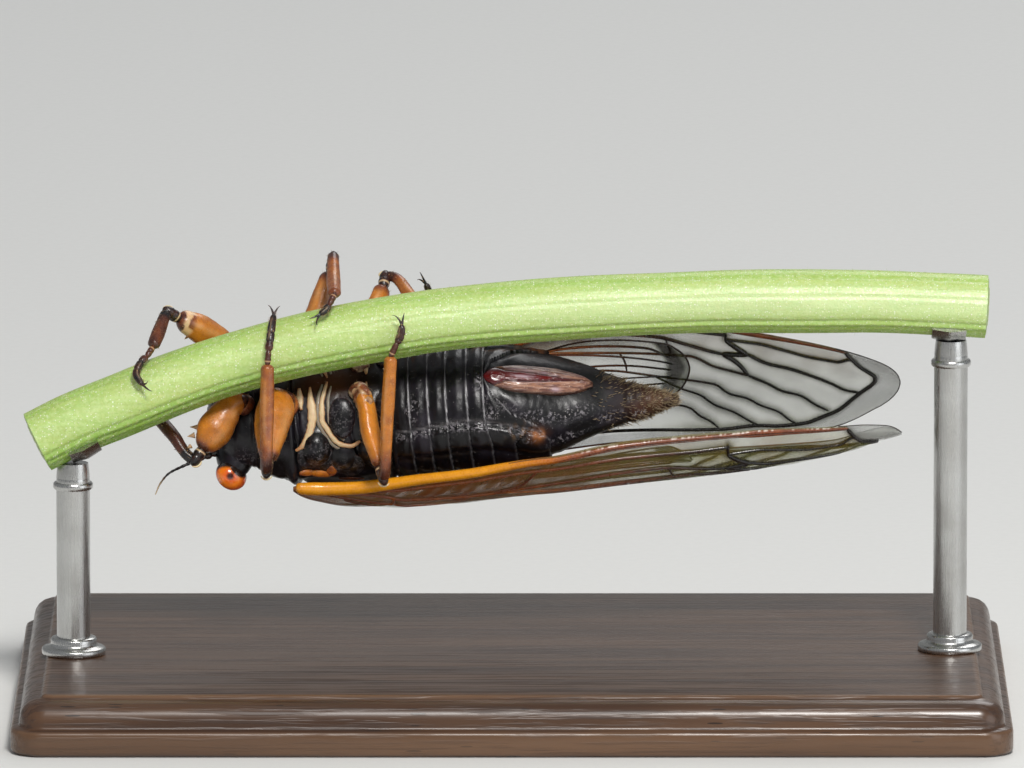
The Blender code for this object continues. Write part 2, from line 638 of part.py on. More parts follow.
def build_body(parts, cutters, insect, paint):
    """Head, thorax, abdomen and tail, with the eyes and the sheath in their places."""
    sections = (
        ("head", body_section("head", (0.0, 0.0), NECK, 8)),
        ("pronotum", body_section("pronotum", behind(NECK), COLLAR, 6)),
        ("mesothorax", body_section("mesothorax", behind(COLLAR), WAIST, 7)),
        ("metathorax", body_section("metathorax", behind(WAIST), BELLY_START, 4)),
        ("abdomen", belly_section("abdomen", behind(BELLY_START), PYGOFER_START)),
        ("pygofer", body_section("pygofer", behind(PYGOFER_START), TAIL_START, 8)),
        ("anal_tube", body_section("anal_tube", behind(TAIL_START), (24.6, 0.0), 5)),
    )
    body = {}
    for name, mesh in sections:
        body[name] = add_object(name, mesh, parts, paint["black"], insect)

    face = add_cutter("face_bulge", ball("face_bulge", *FACE_BULGE), cutters, insect)
    combine(body["head"], [face], "UNION")
    for side, word in ((1.0, "right"), (-1.0, "left")):
        centre = (EYE_CENTRE[0], EYE_CENTRE[1] * side, EYE_CENTRE[2])
        add_object("eye_" + word, ball("eye_" + word, centre, EYE_RADII), parts, paint["eye"], insect)
        socket = [radius + GAP for radius in EYE_RADII]
        hollow = add_cutter("eye_socket_" + word, ball("eye_socket", centre, socket), cutters, insect)
        combine(body["head"], [hollow], "DIFFERENCE")
        (x, y, z), radii = BREAST_PLATE
        plate_mesh = ball("breast_plate", (x, y * side, z), radii)
        plate = add_cutter("breast_plate_" + word, plate_mesh, cutters, insect)
        combine(body["metathorax"], [plate], "UNION")

    add_object("ovipositor", sheath_mesh("ovipositor", 0.0), parts, paint["sheath"], insect)
    groove = add_cutter("sheath_groove", sheath_mesh("sheath_groove", GAP), cutters, insect)
    for name in ("abdomen", "pygofer"):
        combine(body[name], [groove], "DIFFERENCE")


def sheath_mesh(name, spread):
    """The egg-laying blade in its sheath, a long oval that lies in the belly."""
    rings = []
    first = SHEATH_STATIONS[0][0]
    last = SHEATH_STATIONS[-1][0]
    widest = max(row[2] for row in SHEATH_STATIONS)
    for x in np.linspace(first, last, SHEATH_RINGS):
        height, half_width = read_rows(SHEATH_STATIONS, x)
        share = half_width / widest
        ring = []
        for index in range(SHEATH_SIDES):
            angle = math.tau * index / SHEATH_SIDES
            across = (half_width + spread) * math.cos(angle)
            up = (SHEATH_DEPTH * share + spread) * math.sin(angle)
            ring.append(Vector((x, across, height + up)))
        rings.append(ring)
    if spread:
        rings[0] = [point - Vector((spread, 0.0, 0.0)) for point in rings[0]]
        rings[-1] = [point + Vector((spread, 0.0, 0.0)) for point in rings[-1]]
    return loft(name, rings)


def build_head_parts(parts, clearance, insect, paint):
    """The feelers and the beak, which start one gap from the head."""
    for side, word in ((1.0, "right"), (-1.0, "left")):
        path = [(x, y * side, z, radius) for x, y, z, radius in ANTENNA_PATH]
        mesh = tube("antenna", limb_path(path, FOOT_SPACING))
        feeler = add_object("antenna_" + word, mesh, parts, paint["dark"], insect)
        combine(feeler, [clearance], "DIFFERENCE")
    add_object("rostrum", tube("rostrum", limb_path(BEAK_PATH, FOOT_SPACING)), parts, paint["dark"], insect)


def build_legs(parts, cutters, clearance, insect, paint):
    """Six legs, each a thigh with its hip, a shin and a foot with two claws."""
    for name, leg in LEGS.items():
        femur_mesh = tube(name, limb_path(leg["femur"], FEMUR_SPACING), 3)
        femur = add_object(name + "_femur", femur_mesh, parts, paint["amber"], insect)
        combine(femur, [clearance], "DIFFERENCE")
        tibia_mesh = tube(name, limb_path(leg["tibia"], TIBIA_SPACING))
        tibia = add_object(name + "_tibia", tibia_mesh, parts, paint["brown"], insect)
        tarsus_mesh = tube(name, limb_path(leg["tarsus"], FOOT_SPACING))
        tarsus = add_object(name + "_tarsus", tarsus_mesh, parts, paint["dark"], insect)
        thorns = []
        for index, (root, tip, radius) in enumerate(leg["spikes"]):
            label = f"{name}_spike_{index + 1}"
            thorns.append(add_cutter(label, spike(label, root, tip, radius), cutters, insect))
        bearer = femur if "fore" in name else tibia
        if thorns:
            combine(bearer, thorns, "UNION")
        foot_end = Vector(leg["tarsus"][-1][:3])
        foot_way = (foot_end - Vector(leg["tarsus"][-2][:3])).normalized()
        root = foot_end - foot_way * 0.1
        hooks = []
        for index, tip in enumerate(leg["claws"]):
            label = f"{name}_claw_{index + 1}"
            hooks.append(add_cutter(label, claw(label, root, tip, foot_way * 0.12), cutters, insect))
        combine(tarsus, hooks, "UNION")


def build_wings(parts, insect, paint):
    """Two pairs of wings, folded as a roof over the abdomen."""
    def ridges(veins, width, height):
        """Each vein's smooth route with its width and height."""
        routes = [smooth_route(spread_out(vein), VEIN_SPACING) for vein in veins]
        return [([tuple(point) for point in route], width, height) for route in routes]

    fore_ridges = ridges(FOREWING_VEINS, VEIN_WIDTH, VEIN_RISE)
    fore_ridges += ridges([COSTA_LINE], COSTA_WIDTH, COSTA_RISE)
    hind_ridges = ridges(HINDWING_VEINS, VEIN_WIDTH, VEIN_RISE)
    for side, word in ((1.0, "right"), (-1.0, "left")):
        fore = wing("forewing_" + word, side, 0.0, FOREWING_OUTLINE, fore_ridges, 2.4)
        add_object("forewing_" + word, fore, parts, paint["wing"], insect)
        hind = wing("hindwing_" + word, side, HINDWING_INSET, HINDWING_OUTLINE, hind_ridges, 2.8)
        add_object("hindwing_" + word, hind, parts, paint["wing"], insect)


def stem_path(radius):
    """The stem's line with one radius all along."""
    return [(*point, radius) for point in smooth_route(STEM_LINE, 2.2)]


def rounded_ring(inset, height):
    """The base's outline at one step of its moulding, a rectangle with rounded corners."""
    half_x = BASE_LENGTH / 2.0 - inset
    half_y = BASE_DEPTH / 2.0 - inset
    radius = max(BASE_CORNER - CORNER_TAPER * inset, CORNER_LEAST)
    ring = []
    for quarter, (sign_x, sign_y) in enumerate(((1.0, 1.0), (-1.0, 1.0), (-1.0, -1.0), (1.0, -1.0))):
        for step in range(CORNER_POINTS):
            angle = (quarter + step / (CORNER_POINTS - 1)) * math.pi / 2.0
            x = sign_x * (half_x - radius) + radius * math.cos(angle)
            y = sign_y * (half_y - radius) + radius * math.sin(angle)
            ring.append(Vector((x, y, height)))
    return ring


def build_stand(parts, cutters, paint):
    """The cut stem, the base and the two rods that hold the stem."""
    add_object("perch_stem", tube("perch_stem", stem_path(STEM_RADIUS), 5), parts, paint["stem"])
    seat = add_cutter("stem_seat", tube("stem_seat", stem_path(STEM_RADIUS + GAP), 5), cutters)

    base_mesh = loft("stand_base", [rounded_ring(inset, height) for inset, height in BASE_STEPS])
    add_object("stand_base", base_mesh, parts, paint["stand"])

    foot = BASE_HEIGHT + GAP
    for side, word in ((1.0, "right"), (-1.0, "left")):
        y, z = read_rows(STEM_LINE, side * ROD_REACH)
        bpy.ops.mesh.primitive_cylinder_add(vertices=ROD_SIDES, radius=ROD_RADIUS * MM, depth=(z - foot) * MM)
        cylinder = bpy.context.object
        rod_mesh = cylinder.data
        bpy.data.objects.remove(cylinder)
        rod = add_object("stand_rod_" + word, rod_mesh, parts, paint["steel"])
        rod.location = (side * ROD_REACH * MM, y * MM, (z + foot) * MM / 2.0)
        combine(rod, [seat], "DIFFERENCE")


def build():
    """Model the whole object."""
    remove_old_objects()
    parts = make_collection(OBJECT_NAME)
    cutters = make_collection("cutters")
    paint = {
        "black": make_material("black shell", (0.02, 0.018, 0.022), 0.3),
        "eye": make_material("red eye", (0.7, 0.07, 0.01), 0.15),
        "sheath": make_material("dark red sheath", (0.16, 0.02, 0.02), 0.3),
        "amber": make_material("amber leg", (0.55, 0.18, 0.02), 0.35),
        "brown": make_material("brown leg", (0.3, 0.08, 0.02), 0.35),
        "dark": make_material("dark foot", (0.05, 0.03, 0.025), 0.4),
        "wing": make_material("wing membrane", (0.5, 0.4, 0.2), 0.25),
        "stem": make_material("green stem", (0.35, 0.52, 0.12), 0.5),
        "stand": make_material("dark wood", (0.09, 0.05, 0.03), 0.4),
        "steel": make_material("steel rod", (0.6, 0.6, 0.62), 0.3, 1.0),
    }
    insect = bpy.data.objects.new("insect_frame", None)
    parts.objects.link(insect)
    turn = Matrix.Rotation(-TAIL_LIFT, 4, "Y") @ Matrix.Rotation(ROLL_ANGLE, 4, "X")
    insect.matrix_world = Matrix.Translation(Vector(HEAD_FRONT) * MM) @ turn
    bpy.context.view_layer.update()

    clear_mesh = body_section("clearance", (-GAP, 0.0), (16.0, 0.0), 30, spread=GAP)
    clearance = add_cutter("clearance", clear_mesh, cutters, insect)
    build_body(parts, cutters, insect, paint)
    build_head_parts(parts, clearance, insect, paint)
    build_legs(parts, cutters, clearance, insect, paint)
    build_wings(parts, insect, paint)
    build_stand(parts, cutters, paint)


build()
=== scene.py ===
"""The looks of a periodical cicada that clings below a green stem on a display stand.

The insect is modelled in millimetres in its own frame: x from the front of the head to the
tail, y towards its right side and z towards its back. One matrix carries it to its place under
the stem. The stem, the stand and the stage are modelled straight in the world.
"""
import math

import bmesh
import bpy
import numpy as np
from bpy.props import FloatProperty, FloatVectorProperty, PointerProperty
from bpy.types import Operator, Panel, PropertyGroup
from mathutils import Matrix, Vector, noise


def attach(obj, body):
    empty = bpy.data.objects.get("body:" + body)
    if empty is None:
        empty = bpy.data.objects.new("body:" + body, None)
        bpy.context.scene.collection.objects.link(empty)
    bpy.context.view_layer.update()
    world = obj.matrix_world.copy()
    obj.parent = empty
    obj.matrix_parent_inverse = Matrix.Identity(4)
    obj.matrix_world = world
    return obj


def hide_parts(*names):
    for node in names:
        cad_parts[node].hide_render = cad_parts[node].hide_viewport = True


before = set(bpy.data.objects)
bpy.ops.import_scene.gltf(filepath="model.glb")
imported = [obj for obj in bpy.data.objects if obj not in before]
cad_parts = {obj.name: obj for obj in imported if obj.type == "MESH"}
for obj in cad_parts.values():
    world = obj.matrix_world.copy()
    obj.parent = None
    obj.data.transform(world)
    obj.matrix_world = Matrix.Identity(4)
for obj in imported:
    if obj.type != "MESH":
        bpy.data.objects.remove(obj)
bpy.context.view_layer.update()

bl_info = {
    "name": "Periodical cicada on a stem",
    "version": (1, 0, 0),
    "blender": (4, 5, 0),
    "location": "View3D > Sidebar > Cicada",
    "description": "Builds the finished surfaces of a life-size cicada under a stem",
    "category": "Object",
}

MM = 0.001
SEED = 17
SIDES = ((1, "right"), (-1, "left"))
# A pattern that is as long in every direction
UNSTRETCHED = (1.0, 1.0, 1.0)

# How the insect hangs: the front of its head, its roll about the body and the tail's lift
HEAD_FRONT = (-15.9, 1.67, 14.64)
ROLL_ANGLE = math.radians(-135.0)
TAIL_LIFT = math.radians(1.0)
INSECT = (
    Matrix.Translation(Vector(HEAD_FRONT) * MM)
    @ Matrix.Rotation(-TAIL_LIFT, 4, "Y")
    @ Matrix.Rotation(ROLL_ANGLE, 4, "X")
)
# The stem and the stand stay where they are modelled
WORLD = Matrix.Identity(4)
# Edges that turn more than this stay sharp
SHARP_ANGLE = math.radians(50.0)

# The body's outline: x, half width, top and bottom
BODY_STATIONS = (
    (0.0, 0.45, 0.2, -1.1),
    (0.3, 1.45, 0.9, -1.8),
    (0.8, 2.3, 1.45, -2.3),
    (1.4, 2.85, 1.85, -2.55),
    (2.2, 3.15, 2.1, -2.65),
    (3.0, 3.5, 2.6, -2.8),
    (4.0, 3.85, 3.0, -3.05),
    (4.6, 3.95, 3.2, -3.2),
    (5.2, 3.72, 3.35, -3.3),
    (6.5, 3.65, 3.75, -3.42),
    (8.0, 3.65, 3.7, -3.5),
    (9.2, 3.6, 3.2, -3.55),
    (10.0, 3.62, 2.9, -3.65),
    (12.0, 3.66, 2.95, -3.72),
    (14.0, 3.6, 2.9, -3.7),
    (16.0, 3.42, 2.65, -3.45),
    (17.4, 3.18, 2.2, -3.15),
    (18.4, 2.8, 1.65, -2.95),
    (19.8, 2.15, 0.9, -2.75),
    (21.05, 1.55, 0.5, -2.35),
    (22.9, 0.87, 0.0, -1.75),
    (24.0, 0.45, -0.5, -1.5),
    (24.6, 0.2, -0.85, -1.3),
)
BACK_TAPER = 0.3
# How far the body's joints lean back with the height, at the place of each
BODY_LEANS = (
    (0.0, 0.0), (2.45, 0.05), (4.65, 0.12), (7.75, 0.5), (9.75, 0.1), (17.45, 0.45), (22.05, 0.1),
    (24.6, 0.0),
)

EYE_CENTRE = (1.1, 3.25, 0.45)
# Half length, half height and half width
EYE_RADII = (0.8736, 0.7, 0.8)

SHEATH_STATIONS = (
    (14.4, -3.5, 0.15),
    (15.0, -3.42, 0.62),
    (16.4, -3.22, 0.87),
    (18.0, -2.95, 0.85),
    (19.3, -2.72, 0.6),
    (20.2, -2.6, 0.15),
)
SHEATH_DEPTH = 0.75

# The roof of each forewing: x, y and z of its side edge, y and z of its back edge, outward bulge
WING_STATIONS = (
    (4.3, 4.5, -0.35, 4.42, 0.35, 0.0),
    (4.9, 4.5, -0.1, 4.35, 0.95, 0.0),
    (6.0, 4.48, 0.03, 4.15, 1.75, 0.05),
    (7.5, 4.52, -0.1, 3.55, 2.9, 0.25),
    (9.0, 4.58, -0.5, 2.1, 4.2, 0.8),
    (10.4, 4.62, -0.95, 0.42, 4.87, 1.5),
    (13.95, 4.8, -1.9, 0.4, 4.7, 1.5),
    (17.4, 4.8, -2.85, 0.4, 4.1, 1.64),
    (21.6, 4.2, -3.35, 0.4, 3.3, 1.85),
    (25.8, 3.52, -3.01, 0.4, 2.95, 1.75),
    (29.8, 2.96, -2.53, 0.4, 2.65, 1.42),
    (32.6, 2.57, -2.05, 0.42, 2.3, 1.05),
    (35.2, 2.01, -1.45, 0.6, 0.86, 0.75),
    (36.6, 1.65, -0.75, 0.95, 0.15, 0.3),
)
HINDWING_INSET = 0.84
# Where each wing's skin runs: x, and the shares of its two edges
FOREWING_EDGES = (
    (4.36, 0.3, 0.6), (4.5, 0.08, 0.82), (4.8, 0.0, 0.92), (5.4, 0.0, 1.0), (8.0, 0.0, 1.0), (34.0, 0.0, 1.0),
    (35.2, 0.02, 0.98), (35.7, 0.04, 0.95), (36.0, 0.09, 0.9), (36.22, 0.2, 0.8), (36.33, 0.34, 0.68),
    (36.37, 0.46, 0.56),
)
HINDWING_EDGES = (
    (8.3, 0.5, 0.55), (8.8, 0.45, 0.62), (9.5, 0.43, 0.7), (12.0, 0.38, 0.85), (16.0, 0.35, 0.87),
    (20.0, 0.22, 0.87), (22.5, 0.18, 0.85), (24.0, 0.17, 0.77), (24.8, 0.25, 0.68), (25.2, 0.36, 0.56),
    (25.3, 0.44, 0.48),
)

STEM_RADIUS = 1.65
STEM_LINE = (
    (-24.85, -3.05, 14.3), (-23.0, -2.88, 15.2), (-20.6, -2.74, 16.15), (-17.6, -2.52, 17.35),
    (-14.85, -2.36, 18.28), (-11.15, -2.18, 19.27), (-7.5, -2.06, 20.0), (-3.4, -1.94, 20.65),
    (1.5, -1.86, 21.11), (7.0, -1.81, 21.42), (12.5, -1.78, 21.57), (18.0, -1.78, 21.57),
    (23.0, -1.81, 21.39), (24.85, -1.83, 21.29),
)
ROD_REACH = 23.0
ROD_RADIUS = 0.9
BASE_SIZE = (52.0, 32.0, 3.0)


def row_slope(rows, index, column):
    """Slope of one column of a table at one of its rows, flat at a high or low point."""
    slopes = [
        (after[column] - before[column]) / (after[0] - before[0])
        for before, after in zip(rows[max(index - 1, 0):index + 1], rows[max(index, 1):index + 2])
    ]
    if len(slopes) == 1:
        return slopes[0]
    before, after = slopes
    if before * after <= 0.0:
        return 0.0
    return 2.0 * before * after / (before + after)


def read_rows(rows, x):
    """Read a table of stations at x, smoothly between its rows."""
    x = min(max(x, rows[0][0]), rows[-1][0])
    index = 0
    while index < len(rows) - 2 and rows[index + 1][0] < x:
        index += 1
    length = rows[index + 1][0] - rows[index][0]
    u = (x - rows[index][0]) / length
    values = []
    for column in range(1, len(rows[0])):
        start = rows[index][column]
        end = rows[index + 1][column]
        value = start + (end - start) * u * u * (3.0 - 2.0 * u)
        value += row_slope(rows, index, column) * length * u * (1.0 - u) ** 2
        value -= row_slope(rows, index + 1, column) * length * u * u * (1.0 - u)
        values.append(value)
    return values


def fine_table(rows, count=1500):
    places = np.linspace(rows[0][0], rows[-1][0], count)
    return places, np.array([read_rows(rows, place) for place in places]).T


def look_up(table, x):
    """The columns of a fine table at an array of places."""
    places, columns = table
    return [np.interp(x, places, column) for column in columns]


BODY_TABLE = fine_table(BODY_STATIONS)
WING_TABLE = fine_table(WING_STATIONS)


def bump_at(value, centre, width):
    """A smooth hump of height one around a centre."""
    return np.exp(-(((value - centre) / width) ** 2))


def ramp(value, start, end):
    """Zero before the start, one after the end, smooth between."""
    share = np.clip((value - start) / (end - start), 0.0, 1.0)
    return share * share * (3.0 - 2.0 * share)


def span(value, start, full, fade, end):
    """Zero outside its two ends and one in the middle, smooth on the way."""
    return ramp(value, start, full) * (1.0 - ramp(value, fade, end))


def unit(vectors):
    """Vectors brought to length one."""
    return vectors / np.maximum(np.linalg.norm(vectors, axis=-1, keepdims=True), 1e-9)


def headings(path):
    """The way that a path runs at each of its points."""
    return unit(np.gradient(path, axis=0))


def circle(around):
    """Even angles once round."""
    return np.linspace(0.0, math.tau, around, endpoint=False)


def noise_field(points, scale, seed=0.0):
    """Smooth noise of about minus one to one at an array of points of any shape."""
    shift = Vector((seed, seed * 1.7, -seed))
    spots = points.reshape(-1, 3)
    return np.array([noise.noise(Vector(spot) * scale + shift) for spot in spots]).reshape(points.shape[:-1])


def smooth_route(points, spacing):
    """Points at an even spacing along a smooth line through the route's own points."""
    rows = [(0.0, *points[0])]
    for before, after in zip(points[:-1], points[1:]):
        rows.append((rows[-1][0] + math.dist(before[:3], after[:3]), *after))
    count = max(3, math.ceil(rows[-1][0] / spacing) + 1)
    return np.array([read_rows(rows, length) for length in np.linspace(0.0, rows[-1][0], count)])


def distance_to_routes(points, routes):
    """Distance from each point to the nearest of some routes of straight runs."""
    nearest = np.full(len(points), 1e9)
    for route in routes:
        for start, end in zip(np.array(route[:-1]), np.array(route[1:])):
            run = end - start
            offsets = points - start
            shares = np.clip(offsets @ run / max(run @ run, 1e-12), 0.0, 1.0)
            nearest = np.minimum(nearest, np.linalg.norm(offsets - shares[:, None] * run, axis=1))
    return nearest


def inside_ring(points, ring):
    """Which points lie inside a closed ring of corners."""
    inside = np.zeros(len(points), dtype=bool)
    for (ax, ay), (bx, by) in zip(ring, np.roll(ring, -1, axis=0)):
        crossing = (ay > points[:, 1]) != (by > points[:, 1])
        inside ^= crossing & (points[:, 0] < ax + (bx - ax) * (points[:, 1] - ay) / (by - ay or 1e-9))
    return inside


def mesh_from(name, points, faces, masks=None):
    """A smooth mesh from points in millimetres, with its masks as point attributes."""
    mesh = bpy.data.meshes.new(name)
    mesh.from_pydata((np.asarray(points, dtype=float) * MM).tolist(), [], faces)
    for label, values in (masks or {}).items():
        layer = mesh.attributes.new(label, "FLOAT", "POINT")
        layer.data.foreach_set("value", np.asarray(values, dtype=np.float32).ravel())
    mesh.shade_smooth()
    mesh.update()
    return mesh


def grid_faces(rows, columns, closed=True):
    """Faces of a grid of points in rows, joined round each row where it is closed."""
    faces = []
    turns = columns if closed else columns - 1
    for row in range(rows - 1):
        for column in range(turns):
            after = (column + 1) % columns
            a = row * columns
            faces.append((a + column, a + after, a + columns + after, a + columns + column))
    return faces


def turn_outwards(mesh):
    """Make every face of a closed mesh look outwards."""
    shape = bmesh.new()
    shape.from_mesh(mesh)
    bmesh.ops.recalc_face_normals(shape, faces=shape.faces)
    shape.to_mesh(mesh)
    shape.free()


def surface_normals(grid):
    """Unit normals of a grid of points that closes round each row."""
    wrapped = np.concatenate((grid[:, -1:], grid, grid[:, :1]), axis=1)
    normals = unit(np.cross(np.gradient(grid, axis=0), wrapped[:, 2:] - wrapped[:, :-2]))
    outward = grid - grid.mean(axis=1, keepdims=True)
    return -normals if (outward * normals).sum() < 0.0 else normals


def frames_along(path):
    """Two directions across a path at each of its points, turning as little as they can."""
    tangents = headings(path)
    side = np.cross(tangents[0], (0.0, 0.0, 1.0))
    if np.linalg.norm(side) < 0.1:
        side = np.cross(tangents[0], (0.0, 1.0, 0.0))
    sides = []
    for tangent in tangents:
        side = unit(side - tangent * (side @ tangent))
        sides.append(side)
    sides = np.array(sides)
    return tangents, sides, np.cross(tangents, sides)


def sweep(path, radii, around, flat=1.0):
    """Rows of points round a path, flattened where flat is below one."""
    _, sides, ups = frames_along(path)
    angles = circle(around)[None, :, None]
    ring = sides[:, None] * np.cos(angles) + ups[:, None] * np.sin(angles) * flat
    return path[:, None] + ring * np.asarray(radii)[:, None, None]


def belt(path, facing, wide, tall, around):
    """Rows of points round a path on a surface: wide along the surface and tall the way that it faces."""
    angles = circle(around)
    sides = np.cross(headings(path), facing)
    across = sides[:, None] * (np.cos(angles) * wide)[..., None]
    return path[:, None] + across + facing[:, None] * (np.sin(angles) * tall)[..., None]


class Pile:
    """Points, faces and masks of many closed shapes that become one mesh."""

    def __init__(self, *labels):
        self.points = []
        self.faces = []
        self.masks = {label: [] for label in labels}
        self.count = 0

    def add(self, points, faces, **masks):
        """Add one shape with its faces counted from zero."""
        points = np.asarray(points, dtype=float).reshape(-1, 3)
        self.points.append(points)
        self.faces += [tuple(index + self.count for index in face) for face in faces]
        for label, values in self.masks.items():
            values.append(np.broadcast_to(np.asarray(masks.get(label, 0.0), dtype=float), (len(points),)))
        self.count += len(points)

    def add_tube(self, grid, **masks):
        """Add a tube of rows of points, closed at both ends."""
        rows, columns = grid.shape[:2]
        faces = grid_faces(rows, columns)
        faces.append(tuple(reversed(range(columns))))
        faces.append(tuple(range((rows - 1) * columns, rows * columns)))
        for label, values in masks.items():
            values = np.asarray(values, dtype=float)
            values = values[:, None] if values.ndim == 1 else values
            masks[label] = np.broadcast_to(values, (rows, columns)).ravel()
        self.add(grid, faces, **masks)

    def mesh(self, name):
        """The one mesh of all that was added."""
        masks = {label: np.concatenate(values) for label, values in self.masks.items()}
        mesh = mesh_from(name, np.concatenate(self.points), self.faces, masks)
        turn_outwards(mesh)
        mesh.shade_smooth()
        mesh.set_sharp_from_angle(angle=SHARP_ANGLE)
        return mesh

    def piece(self, name, material, slot, nodes=(), place=INSECT):
        """The finished piece of all that was added."""
        return piece(name, self.mesh(name), material, nodes, place)


def piece(name, mesh, material, nodes=(), place=INSECT):
    """Put a finished mesh in the scene on the frame's one body."""
    mesh.transform(place)
    mesh.materials.append(material)
    made = bpy.data.objects.new(name, mesh)
    bpy.context.scene.collection.objects.link(made)
    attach(made, "root")
    if nodes:
        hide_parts(*nodes)
    return made
class NodeBench:
    """Short calls that add nodes to one tree and link them."""

    def __init__(self, tree):
        self.tree = tree

    def add(self, kind, inputs=None, **settings):
        """Add a node, set it, and link or fill its inputs by name or number."""
        node = self.tree.nodes.new(kind)
        for name, value in settings.items():
            setattr(node, name, value)
        for name, value in (inputs or {}).items():
            self.feed(node.inputs[name], value)
        return node

    def feed(self, socket, value):
        """Link a socket to another, or give it a plain value."""
        if isinstance(value, bpy.types.NodeSocket):
            self.tree.links.new(value, socket)
        elif socket.type == "RGBA":
            socket.default_value = (*value, 1.0)
        else:
            socket.default_value = value

    def mask(self, label):
        """A mask that the mesh carries."""
        return self.add("ShaderNodeAttribute", attribute_name=label).outputs["Fac"]

    def maths(self, operation, first, second, clamp=False):
        """One sum of two values."""
        node = self.add("ShaderNodeMath", {0: first, 1: second}, operation=operation, use_clamp=clamp)
        return node.outputs[0]

    def times(self, first, second, clamp=False):
        """Two values multiplied."""
        return self.maths("MULTIPLY", first, second, clamp)

    def plus(self, first, second, clamp=False):
        """Two values added."""
        return self.maths("ADD", first, second, clamp)

    def between(self, share, low, high):
        """A value on its way from low to high."""
        node = self.add("ShaderNodeMapRange", {"Value": share, "To Min": low, "To Max": high})
        return node.outputs["Result"]

    def blend(self, share, first, second):
        """One colour fading into another."""
        return self.add("ShaderNodeMix", {0: share, 6: first, 7: second}, data_type="RGBA").outputs[2]

    def coat(self, colour, mask, share, tint):
        """A tint laid over a colour where a mask is, at a share of its strength."""
        return self.blend(self.times(mask, share), colour, tint)

    def painted(self, colour, **tints):
        """A colour with a tint at full strength on each named mask of the mesh."""
        for label, tint in tints.items():
            colour = self.blend(self.mask(label), colour, tint)
        return colour

    def colours(self, value, stops):
        """A row of colours along a value."""
        node = self.add("ShaderNodeValToRGB", {"Fac": value})
        ramp_stops = node.color_ramp.elements
        while len(ramp_stops) < len(stops):
            ramp_stops.new(0.5)
        for stop, (place, tint) in zip(ramp_stops, stops):
            stop.position = place
            stop.color = (*tint, 1.0)
        return node.outputs["Color"]

    def effect(self, name, output, **inputs):
        """One output of a shared effect, which is built when it is first asked for."""
        tree = bpy.data.node_groups.get(name) or EFFECT_MAKERS[name](name)
        return self.add("ShaderNodeGroup", inputs, node_tree=tree).outputs[output]

    def mottling(self, scale, detail=4.0, low=0.35, high=0.65, stretch=UNSTRETCHED):
        """Cloudy patches."""
        limits = {"Low": low, "High": high}
        return self.effect("Mottling", "Mask", Scale=scale, Detail=detail, Stretch=stretch, **limits)

    def specks(self, scale, size, share, stretch=UNSTRETCHED):
        """Scattered specks."""
        return self.effect("Specks", "Mask", Scale=scale, Size=size, Share=share, Stretch=stretch)

    def pits(self, scale):
        """Close rounded pits as a height."""
        return self.effect("Pits", "Height", Scale=scale)

    def bump(self, height, strength, distance, below=None):
        """A bump of a height in millimetres."""
        inputs = {"Height": height, "Strength": strength, "Distance": distance * MM}
        if below is not None:
            inputs["Normal"] = below
        return self.add("ShaderNodeBump", inputs).outputs["Normal"]


class Finish(NodeBench):
    """The bench of one new material, whose shader it fills at the end."""

    def __init__(self, name):
        self.material = bpy.data.materials.new(name)
        self.material.use_nodes = True
        super().__init__(self.material.node_tree)

    def shaded(self, colour, roughness, normal, **values):
        """Fill the shader's sockets; an underscore in a name stands for a space."""
        sockets = self.tree.nodes["Principled BSDF"].inputs
        self.feed(sockets["Base Color"], colour)
        self.feed(sockets["Roughness"], roughness)
        if normal is not None:
            self.feed(sockets["Normal"], normal)
        for name, value in values.items():
            self.feed(sockets[name.replace("_", " ")], value)
        return self.material


def new_effect(name, output, **inputs):
    """An empty shared effect: its bench, its inputs and the socket of its one output."""
    tree = bpy.data.node_groups.new(name, "ShaderNodeTree")
    for label, value in inputs.items():
        kind = "NodeSocketVector" if isinstance(value, tuple) else "NodeSocketFloat"
        tree.interface.new_socket(label, in_out="INPUT", socket_type=kind).default_value = value
    tree.interface.new_socket(output, in_out="OUTPUT", socket_type="NodeSocketFloat")
    bench = NodeBench(tree)
    return bench, bench.add("NodeGroupInput").outputs, bench.add("NodeGroupOutput").inputs[output]


def millimetres(bench, stretch):
    """The piece's own coordinates in millimetres, stretched."""
    place = bench.add("ShaderNodeTexCoord").outputs["Object"]
    scaled = bench.add("ShaderNodeVectorMath", {0: place, "Scale": 1.0 / MM}, operation="SCALE")
    drawn = bench.add("ShaderNodeVectorMath", {0: scaled.outputs[0], 1: stretch}, operation="MULTIPLY")
    return drawn.outputs[0]


def mottling_effect(name):
    """Cloudy patches: noise with its contrast set by two limits."""
    bench, given, result = new_effect(
        name, "Mask", Scale=1.0, Detail=4.0, Low=0.35, High=0.65, Stretch=UNSTRETCHED,
    )
    size = {"Scale": given["Scale"], "Detail": given["Detail"]}
    cloud = bench.add("ShaderNodeTexNoise", {"Vector": millimetres(bench, given["Stretch"]), **size})
    limits = {"Value": cloud.outputs["Fac"], "From Min": given["Low"], "From Max": given["High"]}
    bench.feed(result, bench.add("ShaderNodeMapRange", limits).outputs["Result"])
    return bench.tree


def speck_effect(name):
    """Scattered small specks, such as dust and the seats of fine hairs."""
    bench, given, result = new_effect(name, "Mask", Scale=4.0, Size=0.2, Share=0.5, Stretch=UNSTRETCHED)
    place = millimetres(bench, given["Stretch"])
    cells = bench.add("ShaderNodeTexVoronoi", {"Vector": place, "Scale": given["Scale"]}).outputs
    near = bench.maths("LESS_THAN", cells["Distance"], given["Size"])
    tint = bench.add("ShaderNodeSeparateColor", {"Color": cells["Color"]})
    bench.feed(result, bench.times(near, bench.maths("LESS_THAN", tint.outputs[0], given["Share"])))
    return bench.tree


